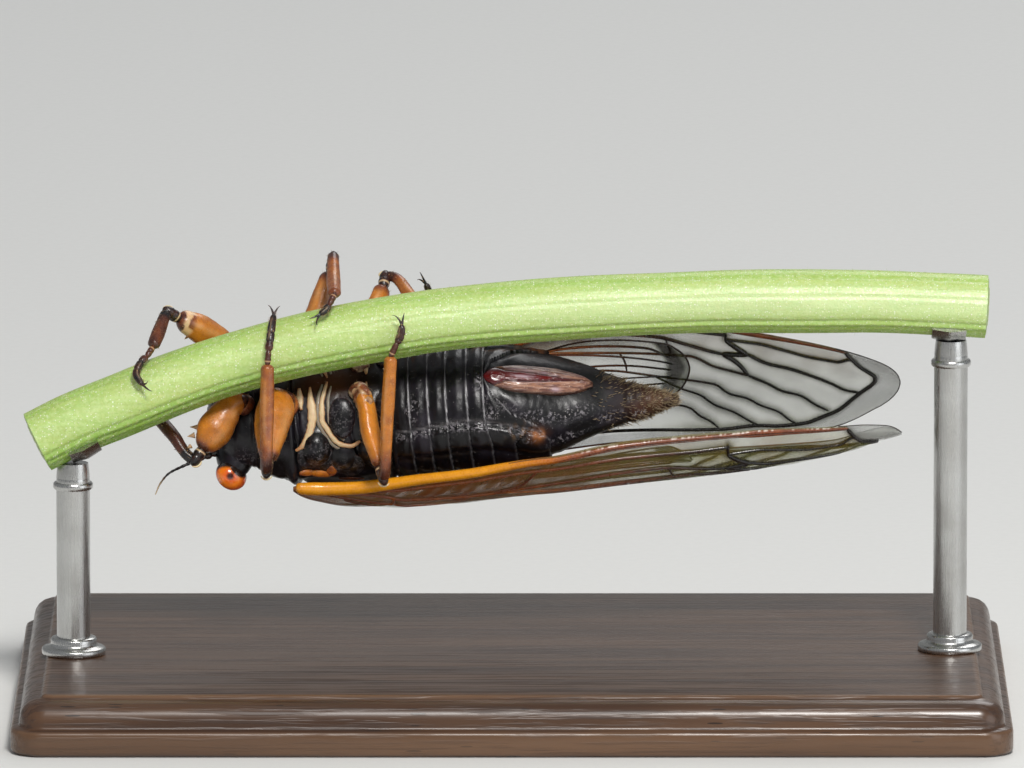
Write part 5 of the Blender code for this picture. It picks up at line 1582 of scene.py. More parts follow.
def forewing_masks(x, share, v, near, wave):
    """Where the forewing is rusty, olive or greyish, and where slanting painted highlights lie on its cells.
    """
    base = (1.0 - ramp(x, 16.0, 26.0)) * (1.0 - 0.3 * ramp(x, 14.0, 19.0)) * (1.0 - ramp(share, 0.3, 0.55))
    # Painted highlights: slanting pale lozenges on the billowed cells near the front edge
    slant = np.cos(math.tau * (x + 7.0 * share) / 0.86)
    lozenge = ramp(slant, 0.1, 0.7) * span(x, 8.4, 9.4, 22.0, 25.0) * (1.0 - 0.5 * ramp(x, 15.6, 16.8))
    lozenge *= span(share, 0.1, 0.14, 0.2, 0.27)
    outer = flat_route(FOREWING_VEINS[-1][3], 0.3)
    flat = flat_points(x, share)
    edge = distance_to_routes(flat, [outer]).reshape(x.shape)
    ring = np.concatenate((outer, ((outer[-1][0], -1.0), (outer[0][0], -1.0))))
    outside = ~inside_ring(flat, ring).reshape(x.shape) & (x > outer[-1][0])
    root = 0.9 * (1.0 - ramp(x, 6.0, 9.5))
    rust = np.maximum(base * (0.85 + 0.4 * wave), root) * (1.0 - 0.3 * lozenge)
    olive = (0.5 * ramp(x, 15.0, 24.0) * (1.0 - ramp(share, 0.24, 0.6)) + 0.1) * (1.0 + wave)
    return {
        "rust": np.clip(rust, 0.0, 1.0),
        "olive": np.clip(olive, 0.0, 1.0),
        "lozenge": np.clip(lozenge, 0.0, 1.0),
        "border": np.where(outside, ramp(edge, 0.03, 0.12), 0.0),
        "clear": 0.7 * ramp(share, 0.3, 0.5) * (1.0 - ramp(x, 21.0, 26.0)),
        "smoke": np.clip(0.6 * bump_at(near, 0.0, 0.2) * ramp(x, 22.0, 27.0), 0.0, 1.0),
    }


def hindwing_masks(x, share, v, near, wave):
    """The dark smoky outer band of the hindwing, blackest along its inner side."""
    nothing = np.zeros_like(x)
    bent = x + 0.8 * (2.0 * v - 1.0) ** 2
    band = ramp(bent, 23.9, 24.3) * (0.95 - 0.4 * ramp(bent, 24.9, 25.2))
    return {
        "rust": 0.25 * (1.0 - ramp(x, 9.0, 13.0)),
        "olive": nothing,
        "lozenge": nothing,
        "border": nothing,
        "clear": np.ones_like(x),
        "smoke": np.clip(band * (1.0 + 0.2 * wave), 0.0, 1.0),
    }


def add_vein(pile, vein, side, inset, tone_of):
    """One raised vein along a route of the flat wing, on both faces of the skin."""
    start, end, darker, route = vein
    line = flat_route(route, 0.14)
    x = line[:, 0]
    path, facing = wing_point(x, line[:, 1] / FLAT_WIDTH, side, inset)
    along = np.linspace(0.0, 1.0, len(x))
    half = (start + (end - start) * along)[:, None]
    half *= np.minimum(1.0, np.minimum(along, 1.0 - along) * len(x) / 3.0 + 0.55)[:, None]
    grid = belt(path, facing, half, 0.04 + 0.75 * half, 12)
    pile.add_tube(grid, tone=np.clip(tone_of(x) + darker, 0.0, 1.0))


def forewing_tone(x):
    """Orange-brown at the root of the wing to black in its outer half."""
    return np.interp(x, (6.0, 9.5, 12.0, 17.0, 21.0, 25.0, 27.0), (0.66, 0.5, 0.42, 0.46, 0.6, 0.8, 1.0))


def hindwing_tone(x):
    """Yellow-brown veins that turn black in the outer band."""
    return np.interp(x, (8.0, 14.0, 20.0, 23.0, 24.5), (0.35, 0.55, 0.75, 1.0, 1.25))


def add_costa(pile, side):
    """The thick front edge: a bright orange bar, then two thin red-brown lines, with painted glints along its
    top and painted shade in its groove.
    """
    x, share, half, tall, tone = smooth_route(COSTA_ROUTE, 0.05).T
    path, facing = wing_point(x, share, side)
    line = np.stack((x, np.zeros_like(x), np.zeros_like(x)), axis=-1)
    across = np.cos(circle(COSTA_SIDES))
    places = np.arange(len(x))
    ends = np.minimum(1.0, np.minimum(places, places[::-1]) / 5.0 + 0.15)
    half = half * (1.0 + 0.05 * noise_field(line, 1.4, 6.0)) * ends
    outer = ramp(x, 17.5, 20.0)[:, None]
    groove = 1.0 - 0.35 * bump_at(across, 0.0, 0.16) * outer
    grid = belt(path, facing, half[:, None], groove * (tall * ends)[:, None], COSTA_SIDES)
    # Painted highlights: a scatter of pale glints along the edge's upper side
    glint_noise = noise_field(line, 5.5, 3.0) + 0.9 * noise_field(line, 1.7, 11.0)
    glint_scatter = ramp(glint_noise, 0.0, 0.4) * span(x, 17.5, 21.5, 32.0, 33.5)
    glint = glint_scatter[:, None] * bump_at(across, -1.0, 0.16)
    # Painted shade: darker along the groove between the two lines
    tones = tone[:, None] + 0.2 * bump_at(across, 0.0, 0.2) * outer
    pile.add_tube(grid, tone=np.clip(tones, 0.0, 1.0), pale=0.75 * glint)


def add_rim(pile, edges, side, inset, tone, half):
    """The thin stiff rim round a wing's outline."""
    rows = np.array([(x, *read_rows(edges, x)) for x in np.linspace(edges[0][0], edges[-1][0], 420)])
    out = [(x, low) for x, low, _ in rows if x > 33.0 or inset]
    back = [(x, high) for x, _, high in rows[::-1] if x > 7.0]
    route = np.array(out + back)
    steps = np.hypot(*(np.diff(route, axis=0) * (1.0, FLAT_WIDTH)).T)
    x, share = route[np.concatenate(((True,), steps > 1e-4))].T
    path, facing = wing_point(x, share, side, inset)
    outer = ramp(x, 31.0, 34.0)
    thin = half * (1.0 - 0.4 * outer)[:, None]
    pile.add_tube(belt(path, facing, thin, thin, 10), tone=tone + 0.3 * outer)


def make_wing_veins(pair, word, side, material):
    """All the veins of one wing, with its rim and, on a forewing, its thick front edge."""
    inset, edges, veins, _, tone_of, _, costa = WINGS[pair]
    pile = Pile("tone", "pale")
    for vein in veins:
        add_vein(pile, vein, side, inset, tone_of)
    if costa:
        add_costa(pile, side)
    add_rim(pile, edges, side, inset, 0.6 if costa else 0.85, 0.05)
    return pile.piece(f"{pair}_{word}_veins", material, "wing_membrane")


# Each pair of wings: inset from the roof, outline, veins, masks, tone of its veins, grid, thick front edge
WINGS = {
    "forewing": (0.0, FOREWING_EDGES, FOREWING_VEINS, forewing_masks, forewing_tone, (330, 76), True),
    "hindwing": (
        HINDWING_INSET, HINDWING_EDGES, HINDWING_VEINS, hindwing_masks, hindwing_tone, (200, 52), False,
    ),
}


STEM_SIDES = 168
CUT_SIDES = 96
SADDLE_SIDES = 40
# Turned forms of the rods, each step a radius and a height above the base or the rod's top
ROD_COLLAR = (
    (0.5, 0.0), (1.62, 0.0), (1.68, 0.06), (1.68, 0.3), (1.6, 0.38), (1.35, 0.42), (1.24, 0.5), (1.2, 0.62),
    (1.22, 0.78), (1.16, 0.88), (0.96, 0.92), (0.5, 0.92),
)
ROD_NECK = ((0.4, -1.5), (0.98, -1.5), (1.04, -1.42), (1.04, -1.22), (0.98, -1.14), (0.4, -1.14))
ROD_STALK = ((0.3, -0.9), (0.88, -0.9), (0.85, -0.5), (0.8, -0.12), (0.3, -0.1))
# Moulding of the base: inset from its outline and height of each step, and how worn five of them are
MOULDING = (
    (1.2, 0.0), (0.35, 0.0), (0.12, 0.06), (0.0, 0.22), (0.0, 1.15), (0.05, 1.28), (0.16, 1.36), (0.34, 1.4),
    (0.42, 1.46), (0.44, 1.6), (0.46, 1.85), (0.54, 2.15), (0.7, 2.42), (0.95, 2.62), (1.25, 2.74),
    (1.5, 2.78), (1.58, 2.83), (1.62, 2.92), (1.74, 2.98), (1.95, 3.0), (4.0, 3.0), (8.0, 3.0), (12.0, 3.0),
    (15.0, 3.0), (15.9, 3.0),
)
WORN_STEPS = {3: 0.7, 4: 0.8, 5: 0.9, 17: 0.8, 18: 0.9}
# Grooves and ribs round the stem: degrees (90 is up, 180 faces the viewer), depth and width
STEM_GROOVES = (
    (158.0, 0.035, 4.0), (206.0, 0.06, 4.0), (213.0, -0.04, 4.0), (222.0, 0.04, 3.0), (238.0, 0.04, 4.0),
    (252.0, 0.08, 4.0), (285.0, 0.06, 4.0), (318.0, 0.08, 5.0), (352.0, 0.05, 4.0), (34.0, 0.07, 5.0),
    (74.0, 0.05, 4.0), (118.0, 0.04, 4.0),
)


def stem_frames(spacing=0.16):
    """The stem's line with its tangent, its two cross directions and the rings' angles."""
    path = smooth_route(STEM_LINE, spacing)
    tangents = headings(path)
    sides = unit(np.cross((0.0, 0.0, 1.0), tangents))
    return path, tangents, sides, np.cross(tangents, sides)


def stem_radius(along, degrees):
    """The stem's radius at arrays of length and degrees round it."""
    radius = np.full(np.broadcast(along, degrees).shape, STEM_RADIUS)
    sway = 5.0 * np.sin(along * 0.09 + 0.6)
    for place, depth, width in STEM_GROOVES:
        gap = (degrees - place - sway + 180.0) % 360.0 - 180.0
        radius = radius - depth * bump_at(gap, 0.0, width)
    return radius + 0.02 * np.sin(along * 0.55) + 0.015 * np.sin(along * 0.31 + np.radians(degrees) * 2.0)


def stem_point(along_index, degrees, frames, lift=0.0):
    """A point of the stem's skin and its outward direction."""
    path, _, sides, ups = frames
    turn = np.radians(degrees)
    out = sides[along_index] * np.cos(turn)[..., None] + ups[along_index] * np.sin(turn)[..., None]
    radius = stem_radius(path[along_index][..., 0], degrees)
    return path[along_index] + out * (radius + lift)[..., None], out


def make_stem(material):
    """The green stem with its ribs, its grooved underside darkened as painted shade, a painted highlight
    along its face, and its bloom.
    """
    frames = stem_frames()
    x = frames[0][:, :1]
    rows, turns = np.meshgrid(np.arange(len(x)), np.degrees(circle(STEM_SIDES)), indexing="ij")
    grid, _ = stem_point(rows, turns, frames)
    local = turns - 5.0 * np.sin(x * 0.09 + 0.6)
    # Painted shade: the lower side is darker, less so to the right. A thin darker line also runs near the top
    under = 0.75 * ramp(local, 200.0, 210.0) + 0.25 * ramp(local, 226.0, 250.0)
    under *= (1.0 - ramp(local, 305.0, 325.0)) * (1.0 - 0.6 * ramp(x, -12.0, 8.0))
    under += 0.35 * bump_at(local, 112.0, 9.0)
    # Painted highlight: a pale band along the face towards the viewer, brighter to the right
    crest = 0.75 * bump_at(local, 165.0, 34.0) * (0.4 + 0.6 * ramp(x, -12.0, 12.0))
    pile = Pile("under", "crest")
    pile.add_tube(grid, under=np.clip(under, 0.0, 1.0), crest=np.clip(crest, 0.0, 1.0))
    return pile.piece("perch_stem", material, "green_stem", ("perch_stem",), WORLD)


def make_stem_cuts(material):
    """The two cut ends: slightly domed pith with a raised green rim of fibres."""
    frames = stem_frames()
    path, tangents = frames[:2]
    pile = Pile("radius")
    turns = circle(CUT_SIDES)
    shares = np.linspace(1.0, 0.02, 26)
    for index, way in ((0, -1.0), (len(path) - 1, 1.0)):
        edge, _ = stem_point(np.full(CUT_SIDES, index), np.degrees(turns), frames, -0.02)
        rows = [edge - tangents[index] * way * 0.15]
        for share in shares:
            rise = 0.13 - 0.1 * share ** 2 - 0.09 * math.exp(-(((share - 0.72) / 0.07) ** 2))
            wave = 0.03 * np.sin(turns * 12.0) * share * (share < 0.7)
            ring = path[index] + (edge - path[index]) * share
            rows.append(ring + tangents[index] * way * (rise * min(1.0, (1.0 - share) * 9.0) + wave)[:, None])
        pile.add_tube(np.array(rows), radius=np.array((1.0, *shares)))
    return pile.piece("stem_cut_ends", material, "green_stem", (), WORLD)


def lathe(pile, profile, centre, around):
    """A turned form: radius and height of each step of its profile."""
    turn = circle(around)
    radius, height = np.array(profile).T[..., None]
    grid = np.stack((radius * np.cos(turn), radius * np.sin(turn), height + 0.0 * turn), axis=-1)
    pile.add_tube(grid + np.array(centre))


def saddle(x):
    """Rows of points of the curved plate under the stem at x, thickest at its middle."""
    frames = stem_frames(0.1)
    path = frames[0]
    middle = int(np.argmin(np.abs(path[:, 0] - x)))
    rows = []
    for index in range(middle - 9, middle + 10):
        thick = 0.32 - 0.16 * abs(index - middle) / 9.5
        _, out = stem_point(np.full(SADDLE_SIDES, index), np.linspace(218.0, 322.0, SADDLE_SIDES), frames)
        face = path[index] + out * (STEM_RADIUS + 0.01)
        back = path[index] + out * (STEM_RADIUS + thick)
        rows.append(np.concatenate((face, back[::-1])))
    return np.array(rows)


def make_rods(material):
    """The two steel rods, each with a turned collar on the base and a saddle under the stem."""
    foot = BASE_SIZE[2]
    for side, word in SIDES:
        x = side * ROD_REACH
        y, z = read_rows(STEM_LINE, x)
        slope = read_rows(STEM_LINE, x + 0.5)[1] - read_rows(STEM_LINE, x - 0.5)[1]
        top = z - STEM_RADIUS / math.cos(math.atan(slope)) - 0.1
        pile = Pile("shade")
        profile = [(0.02, foot - 0.6), (ROD_RADIUS * 0.98, foot - 0.6)]
        profile += [(ROD_RADIUS * 0.98, height) for height in np.linspace(foot - 0.55, top - 1.0, 60)]
        profile += [(ROD_RADIUS * 0.9, top - 0.7), (ROD_RADIUS * 0.75, top - 0.55), (0.02, top - 0.5)]
        lathe(pile, profile, (x, y, 0.0), 64)
        lathe(pile, ROD_COLLAR, (x, y, foot), 80)
        lathe(pile, ROD_NECK, (x, y, top), 64)
        pile.add_tube(saddle(x))
        lathe(pile, ROD_STALK, (x, y, top), 48)
        name = "stand_rod_" + word
        pile.piece(name, material, "rod_steel", (name,), WORLD)


def corner_point(index, turn, half, radius):
    """A point of one rounded corner of the base's outline, at an angle round that corner's centre."""
    ways = ((1.0, 1.0), (-1.0, 1.0), (-1.0, -1.0), (1.0, -1.0))[index % 4]
    return np.array(ways) * (half - radius) + radius * np.array((math.cos(turn), math.sin(turn)))


def make_base(material):
    """The wooden base with a moulded edge and rounded corners."""
    quarter = math.pi / 2.0
    rows = []
    for inset, rise in MOULDING:
        half = np.array(BASE_SIZE[:2]) / 2.0 - inset
        radius = min(max(1.6 - inset * 0.6, 0.35), half[1] * 0.9)
        ring = []
        for index in range(4):
            for turn in np.linspace(0.0, quarter, 12):
                ring.append(corner_point(index, turn + index * quarter, half, radius))
            start = ring[-1]
            end = corner_point(index + 1, (index + 1) * quarter, half, radius)
            ring += [start + (end - start) * share for share in np.linspace(0.0, 1.0, 30)[1:-1]]
        rows.append([(x, y, rise) for x, y in ring])
    pile = Pile("worn")
    pile.add_tube(np.array(rows), worn=[WORN_STEPS.get(step, 0.0) for step in range(len(MOULDING))])
    return pile.piece("stand_base", material, "stand_wood", ("stand_base",), WORLD)


TUFT_PATCH = 0.003


def add_hair(rows, root, way, bend, length, radius, place):
    """Keep one hair: its root, direction, bend, length, thickness and place on the unwrap."""
    rows.append((*root, *way, *bend, length, radius, *place))


def hair_mesh(name, rows, steps):
    """All the hairs of one coat piece as tapered three-sided blades with their unwrap."""
    rows = np.array(rows)
    count = len(rows)
    root, way, bend = rows[:, 0:3], rows[:, 3:6], rows[:, 6:9]
    length, radius = rows[:, 9], rows[:, 10]
    place = rows[:, 11:13]
    way = unit(way)
    helper = np.where(np.abs(way[:, 2:3]) > 0.8, (1.0, 0.0, 0.0), (0.0, 0.0, 1.0))
    side = unit(np.cross(way, helper))
    other = np.cross(way, side)
    shares = np.linspace(0.0, 1.0, steps + 1)[:-1]
    points = []
    along = []
    spots = []
    for share in shares:
        middle = root + way * (length * share)[:, None] + bend * (length * share ** 2)[:, None]
        for corner in range(3):
            angle = math.tau * corner / 3.0
            out = side * math.cos(angle) + other * math.sin(angle)
            points.append(middle + out * (radius * (1.0 - 0.75 * share))[:, None])
            along.append(np.full(count, share))
            spots.append(place + TUFT_PATCH * np.array((corner / 3.0, share)))
    points.append(root + way * length[:, None] + bend * length[:, None])
    along.append(np.ones(count))
    spots.append(place + TUFT_PATCH * np.array((0.5, 1.0)))
    each = 3 * steps + 1
    points = np.array(points).transpose(1, 0, 2).reshape(-1, 3)
    along = np.array(along).T.ravel()
    spots = np.array(spots).transpose(1, 0, 2).reshape(-1, 2)
    pattern = []
    for step in range(steps - 1):
        for corner in range(3):
            after = (corner + 1) % 3
            a, b = step * 3 + corner, step * 3 + after
            pattern += [(a, b, b + 3), (a, b + 3, a + 3)]
    last, tip = (steps - 1) * 3, each - 1
    pattern += [(last, last + 1, tip), (last + 1, last + 2, tip), (last + 2, last, tip), (0, 2, 1)]
    pattern = np.array(pattern)
    faces = (pattern[None] + (np.arange(count) * each)[:, None, None]).reshape(-1, 3)
    dull = np.repeat(np.random.default_rng(count).random(count), each)
    mesh = mesh_from(name, points, faces.tolist(), {"along": along, "dull": dull})
    unwrap = mesh.uv_layers.new(name="OFBake")
    corners = np.empty(len(mesh.loops), dtype=np.int32)
    mesh.loops.foreach_get("vertex_index", corners)
    unwrap.data.foreach_set("uv", np.clip(spots[corners], 0.0, 1.0).astype(np.float32).ravel())
    return mesh


def hair_piece(name, rows, material, steps=3, place=INSECT):
    """The finished coat piece of all the hairs in its rows."""
    return piece(name, hair_mesh(name, rows, steps), material, (), place)


def body_place(x, degrees):
    """The place of a root on the unwrap of the body: length across, turn upwards."""
    return 0.01 + 0.97 * (x / 25.0), 0.01 + 0.97 * ((degrees + 180.0) % 360.0) / 360.0


def make_tail_bristles(material):
    """Short bristles that stand out round the tail, with longer ones over its back and end."""
    generator = np.random.default_rng(SEED)
    rows = []
    for index in range(1100):
        x = 20.0 + 4.6 * generator.random() ** 0.5
        degrees = generator.uniform(-180.0, 180.0)
        root, facing = skin_point(x, degrees, -0.03)
        way = np.array((1.0, 0.0, 0.0)) * generator.uniform(0.2, 1.0) + facing * generator.uniform(0.5, 1.1)
        way += generator.normal(0.0, 0.25, 3)
        length = generator.uniform(0.14, 0.3) * (1.7 if index % 7 == 0 else 1.0)
        bend = np.array((0.2, 0.0, 0.0)) - facing * 0.15
        add_hair(rows, root, way, bend, length, 0.025, body_place(x, degrees))
    for _ in range(90):
        x = generator.uniform(20.4, 24.5)
        degrees = -113.0 + generator.normal(0.0, 7.0)
        root, facing = skin_point(x, degrees, -0.03)
        way = facing + np.array((0.5, 0.0, 0.0)) + generator.normal(0.0, 0.2, 3)
        length = generator.uniform(0.3, 0.5)
        add_hair(rows, root, way, np.array((0.15, 0.0, 0.0)), length, 0.018, body_place(x, degrees))
    return hair_piece("tail_bristles", rows, material, 4)


def make_body_hairs(material):
    """Short pale hairs that lie back over the abdomen, breast and head."""
    generator = np.random.default_rng(SEED + 1)
    rows = []
    for _ in range(1300):
        x = generator.uniform(0.2, 20.5)
        degrees = generator.uniform(-180.0, 180.0)
        on_belly = math.sin(math.radians(degrees)) < 0.1
        if generator.random() > (0.95 if on_belly else 0.4):
            continue
        if 4.6 < x < 9.4 and generator.random() > 0.5:
            continue
        root, facing = skin_point(x, degrees, -0.02)
        lift = generator.uniform(0.12, 0.4)
        way = np.array((1.0, 0.0, 0.0)) + facing * lift + generator.normal(0.0, 0.22, 3)
        length = generator.uniform(0.1, 0.2)
        add_hair(rows, root, way, np.array((0.1, 0.0, 0.0)), length, 0.006, body_place(x, degrees))
    return hair_piece("body_hairs", rows, material)


def make_leg_hairs(material):
    """Fine pale hairs along the legs."""
    generator = np.random.default_rng(SEED + 2)
    rows = []
    for turn, limbs in enumerate(LEGS.values()):
        for row, (limb, count) in enumerate((("femur", 190), ("tibia", 170), ("tarsus", 60))):
            path, radii, share = limb_shape(limbs[limb], 0.05)
            tangents, sides, ups = frames_along(path)
            for _ in range(count):
                place = generator.integers(2, len(path) - 2)
                angle = generator.random() * math.tau
                out = sides[place] * math.cos(angle) + ups[place] * math.sin(angle)
                root = path[place] + out * radii[place] * 0.86
                way = tangents[place] * generator.uniform(0.6, 1.2) + out * generator.uniform(0.3, 0.9)
                spot = (0.02 + 0.9 * share[place], 0.02 + 0.05 * (turn * 3 + row) + 0.04 * angle / math.tau)
                add_hair(rows, root, way, tangents[place] * 0.1, generator.uniform(0.12, 0.26), 0.008, spot)
    return hair_piece("leg_hairs", rows, material)


def make_stem_hairs(material):
    """Tiny glittering white hairs all over the stem."""
    generator = np.random.default_rng(SEED + 3)
    frames = stem_frames()
    path, tangents = frames[0], frames[1]
    rows = []
    for turn in range(4200):
        index = int(generator.integers(3, len(path) - 3))
        degrees = float(generator.uniform(0.0, 360.0))
        root, out = stem_point(np.array([index]), np.array([degrees]), frames, -0.02)
        way = out[0] + tangents[index] * generator.normal(0.0, 0.45) + generator.normal(0.0, 0.25, 3)
        length = generator.uniform(0.05, 0.1) * (2.6 if turn % 25 == 0 else 1.0)
        spot = (0.01 + 0.97 * index / len(path), 0.01 + 0.97 * degrees / 360.0)
        add_hair(rows, root[0], way, (0.0, 0.0, -0.1), length, 0.008, spot)
    return hair_piece("stem_hairs", rows, material, place=WORLD)


# The photo's view: where it looks, how far off and how wide in metres, and degrees above the level
VIEW_TARGET = (0.0, 0.002, 0.0165)
VIEW_DISTANCE = 0.9
VIEW_WIDTH = 0.0539
VIEW_RISE = 10.0
# The lamps: place, size and tint
LAMPS = {
    "key": ((0.06, -0.32, 0.33), 0.1, (1.0, 0.98, 0.95)),
    "fill": ((0.34, -0.24, 0.1), 0.3, (0.94, 0.97, 1.0)),
    "back": ((0.1, 0.32, 0.34), 0.26, (1.0, 1.0, 1.0)),
}


def aim(thing, target):
    """Turn a light or the camera towards a point."""
    thing.rotation_euler = (Vector(target) - thing.location).to_track_quat("-Z", "Y").to_euler()


def soft_light(kind, strength):
    """One large soft lamp that looks at the model."""
    place, size, tint = LAMPS[kind]
    name = kind + " light"
    lamp = bpy.data.lights.new(name, "AREA")
    lamp.shape = "DISK"
    lamp.size = size
    lamp.energy = strength
    lamp.color = tint
    made = bpy.data.objects.new(name, lamp)
    bpy.context.scene.collection.objects.link(made)
    made.location = place
    aim(made, VIEW_TARGET)


def make_floor(material):
    """A wide plain floor that rises softly far behind the model."""
    pile = []
    faces = []
    depths = [-1.5, -0.6, -0.3, 0.0, 0.3, 0.6, 0.9]
    profile = [(depth, 0.0) for depth in depths]
    turns = np.linspace(0.1, math.pi / 2.0, 16)
    profile += [(0.9 + 0.8 * math.sin(turn), 0.8 * (1.0 - math.cos(turn))) for turn in turns]
    profile.append((1.7, 2.4))
    for depth, height in profile:
        for x in np.linspace(-2.0, 2.0, 9):
            pile.append((x, depth, height))
    for row in range(len(profile) - 1):
        for column in range(8):
            a = row * 9 + column
            faces.append((a, a + 1, a + 10, a + 9))
    mesh = bpy.data.meshes.new("studio_floor")
    mesh.from_pydata(pile, [], faces)
    mesh.shade_smooth()
    mesh.materials.append(material)
    made = bpy.data.objects.new("studio_floor", mesh)
    bpy.context.scene.collection.objects.link(made)
    return made


def make_camera():
    """The photograph's view: level with the stem and a little above it, through a long lens."""
    lens = bpy.data.cameras.new("view")
    lens.sensor_width = 36.0
    lens.lens = VIEW_DISTANCE / VIEW_WIDTH * lens.sensor_width
    lens.clip_start = 0.05
    lens.clip_end = 20.0
    made = bpy.data.objects.new("view", lens)
    bpy.context.scene.collection.objects.link(made)
    rise = math.radians(VIEW_RISE)
    made.location = Vector(VIEW_TARGET) + Vector((0.0, -math.cos(rise), math.sin(rise))) * VIEW_DISTANCE
    aim(made, VIEW_TARGET)
    bpy.context.scene.camera = made


def make_world(strength):
    """An even pale surrounding light, shown without any film look."""
    bpy.context.scene.view_settings.view_transform = "Standard"
    world = bpy.data.worlds.new("studio")
    world.use_nodes = True
    background = world.node_tree.nodes["Background"]
    background.inputs["Color"].default_value = (0.93, 0.96, 1.0, 1.0)
    background.inputs["Strength"].default_value = strength
    bpy.context.scene.world = world


def colour(name, description, default):
    """A colour that a user may change."""
    return FloatVectorProperty(
        name=name, description=description, default=default, size=3, subtype="COLOR", min=0.0, max=1.0,
    )


def power(name, description, default):
    """The power of a lamp that a user may change."""
    return FloatProperty(name=name, description=description, default=default, min=0.0, unit="POWER")


class CicadaShades(PropertyGroup):
    """Colours of the cicada, its stem and its stand."""

    shell: colour("Shell", "Black of the body", (0.0035, 0.003, 0.004))
    bloom: colour("Bloom", "Grey-violet bloom on the shell", (0.016, 0.0125, 0.02))
    eye: colour("Eye", "Orange-red of the eyes", (0.8, 0.12, 0.004))
    limb_bright: colour("Bright limb", "Brightest amber of the legs", (0.7, 0.235, 0.014))
    limb_brown: colour("Brown limb", "Red-brown of the shins", (0.27, 0.075, 0.02))
    sheath: colour("Sheath", "Dark red of the egg-laying blade", (0.13, 0.006, 0.008))
    cream: colour("Cream", "Cream rims of the breast", (0.74, 0.56, 0.33))
    wing_tint: colour("Wing tint", "Yellow-olive tint of the clear wings", (0.28, 0.31, 0.12))
    vein_orange: colour("Orange vein", "Orange of the front edges of the wings", (0.82, 0.33, 0.01))
    stem: colour("Stem", "Yellow-green of the stem", (0.42, 0.62, 0.14))
    # Painted shade: the darker green of the stem's lower side
    stem_under: colour("Stem below", "Darker green below the stem", (0.23, 0.42, 0.05))
    wood: colour("Wood", "Dark oiled wood of the base", (0.11, 0.055, 0.028))
    steel: colour("Steel", "Satin steel of the rods", (0.56, 0.56, 0.55))
    floor: colour("Floor", "Pale studio floor", (0.8, 0.8, 0.78))
    wing_cover: FloatProperty(
        name="Wing cover", description="How much the clear wings hide what lies behind them",
        default=0.22, min=0.0, max=1.0, subtype="FACTOR",
    )


class CicadaStudio(PropertyGroup):
    """Light of the studio."""

    key_power: power("Key light", "Power of the main lamp", 1.5)
    fill_power: power("Fill light", "Power of the filling lamp", 0.35)
    back_power: power("Back light", "Power of the lamp behind", 0.5)
    surround: FloatProperty(
        name="Surround", description="Strength of the even surrounding light", default=0.3, min=0.0,
    )


def finish_of(kind):
    """One of the finishes, built when it is first asked for."""
    if kind not in FINISHES:
        if kind in HAIR_SHADES:
            FINISHES[kind] = hair_material(kind)
        else:
            FINISHES[kind] = MAKERS[kind](bpy.context.scene.cicada_shades)
    return FINISHES[kind]


FINISHES = {}
MAKERS = {
    "black_shell": shell_material, "red_eye": eye_material, "amber_limb": limb_material,
    "dark_red_sheath": sheath_material, "cream_membrane": cream_material, "wing_vein": vein_material,
    "wing_skin": membrane_material, "green_stem": stem_material, "cut_pith": pith_material,
    "stand_wood": wood_material, "rod_steel": steel_material, "studio_floor": floor_material,
}


class CICADA_OT_body(Operator):
    """Build the skin of the body and the plates and rims of the breast"""

    bl_idname = "cicada.body"
    bl_label = "Body"

    def execute(self, context):
        make_body_skin(finish_of("black_shell"))
        make_breast_plates(finish_of("black_shell"))
        make_breast_bands(finish_of("cream_membrane"))
        make_sheath(finish_of("dark_red_sheath"))
        return {"FINISHED"}


class CICADA_OT_head(Operator):
    """Build the eyes, the feelers and the beak"""

    bl_idname = "cicada.head"
    bl_label = "Eyes and feelers"

    def execute(self, context):
        make_ocelli(finish_of("red_eye"))
        make_beak(finish_of("amber_limb"))
        for side, word in SIDES:
            make_eye(side, "eye_" + word, finish_of("red_eye"))
            make_antenna(side, "antenna_" + word, finish_of("amber_limb"))
        return {"FINISHED"}


class CICADA_OT_legs(Operator):
    """Build the six legs with their spurs and claws"""

    bl_idname = "cicada.legs"
    bl_label = "Legs"

    def execute(self, context):
        for name, limbs in LEGS.items():
            make_leg(name, limbs, finish_of("amber_limb"))
        return {"FINISHED"}


class CICADA_OT_wings(Operator):
    """Build the clear wings, their veins and their orange roots"""

    bl_idname = "cicada.wings"
    bl_label = "Wings"

    def execute(self, context):
        make_wing_roots(finish_of("amber_limb"))
        for side, word in SIDES:
            for pair in WINGS:
                make_membrane(pair, word, side, finish_of("wing_skin"))
                make_wing_veins(pair, word, side, finish_of("wing_vein"))
        return {"FINISHED"}


class CICADA_OT_perch(Operator):
    """Build the green stem with its cut ends"""

    bl_idname = "cicada.perch"
    bl_label = "Stem"

    def execute(self, context):
        make_stem(finish_of("green_stem"))
        make_stem_cuts(finish_of("cut_pith"))
        return {"FINISHED"}


class CICADA_OT_stand(Operator):
    """Build the wooden base and the two steel rods"""

    bl_idname = "cicada.stand"
    bl_label = "Display stand"

    def execute(self, context):
        make_base(finish_of("stand_wood"))
        make_rods(finish_of("rod_steel"))
        return {"FINISHED"}


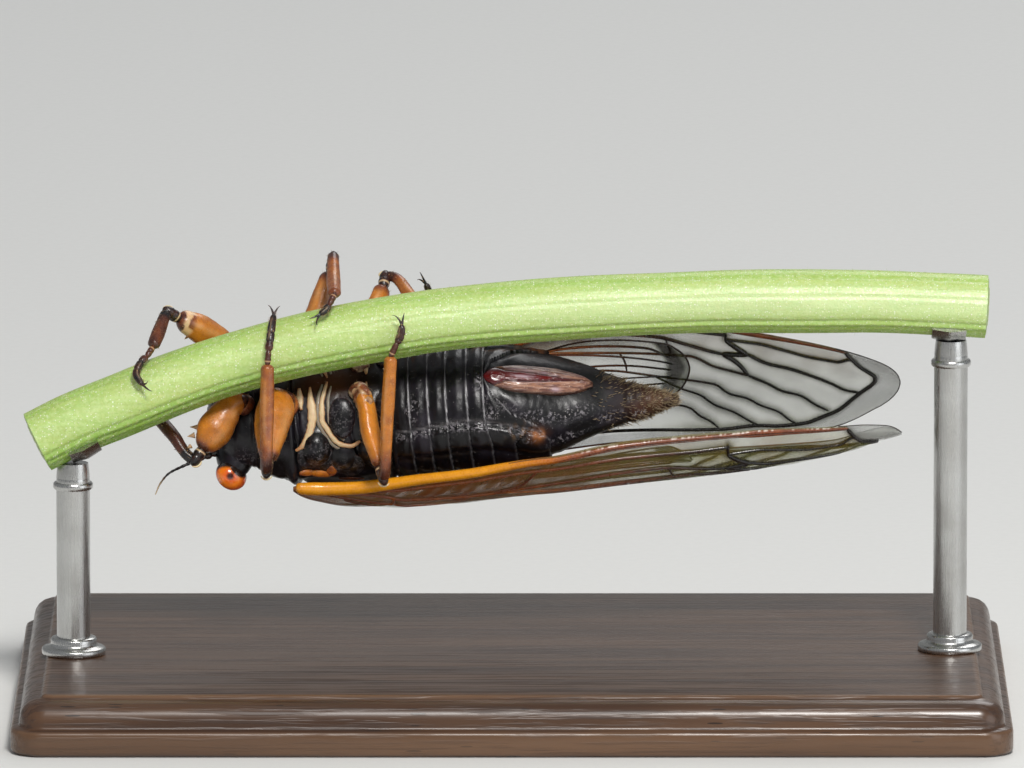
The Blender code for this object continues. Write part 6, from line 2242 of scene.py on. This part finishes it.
class CICADA_OT_hairs(Operator):
    """Build the bristles and fine hairs of the insect and the stem"""

    bl_idname = "cicada.hairs"
    bl_label = "Hairs"

    def execute(self, context):
        make_tail_bristles(finish_of("golden_bristle"))
        make_body_hairs(finish_of("pale_hair"))
        make_leg_hairs(finish_of("leg_hair"))
        make_stem_hairs(finish_of("frost_hair"))
        return {"FINISHED"}


class CICADA_OT_stage(Operator):
    """Set up the pale floor, the soft studio light and the camera"""

    bl_idname = "cicada.stage"
    bl_label = "Stage"

    def execute(self, context):
        studio = context.scene.cicada_studio
        make_floor(finish_of("studio_floor"))
        soft_light("key", studio.key_power)
        soft_light("fill", studio.fill_power)
        soft_light("back", studio.back_power)
        make_world(studio.surround)
        make_camera()
        return {"FINISHED"}


STEPS = (
    CICADA_OT_stage, CICADA_OT_body, CICADA_OT_head, CICADA_OT_legs, CICADA_OT_wings,
    CICADA_OT_perch, CICADA_OT_stand, CICADA_OT_hairs,
)


class CICADA_PT_panel(Panel):
    """Sidebar panel with the colours, the lights and one button for each group of pieces"""

    bl_idname = "CICADA_PT_panel"
    bl_label = "Periodical cicada"
    bl_space_type = "VIEW_3D"
    bl_region_type = "UI"
    bl_category = "Cicada"

    def draw(self, context):
        layout = self.layout
        for step in STEPS:
            layout.operator(step.bl_idname)
        for group in (context.scene.cicada_shades, context.scene.cicada_studio):
            for label in group.__annotations__:
                layout.prop(group, label)


CLASSES = (CicadaShades, CicadaStudio, *STEPS, CICADA_PT_panel)


def register():
    """Register the classes and the scene's settings."""
    for one in CLASSES:
        bpy.utils.register_class(one)
    bpy.types.Scene.cicada_shades = PointerProperty(type=CicadaShades)
    bpy.types.Scene.cicada_studio = PointerProperty(type=CicadaStudio)


def unregister():
    """Take the settings and the classes out again."""
    del bpy.types.Scene.cicada_studio
    del bpy.types.Scene.cicada_shades
    for one in reversed(CLASSES):
        bpy.utils.unregister_class(one)


def main():
    """Build every piece in order."""
    register()
    for step in STEPS:
        group, action = step.bl_idname.split(".")
        getattr(getattr(bpy.ops, group), action)()
    bpy.context.view_layer.update()


if __name__ == "__main__":
    main()
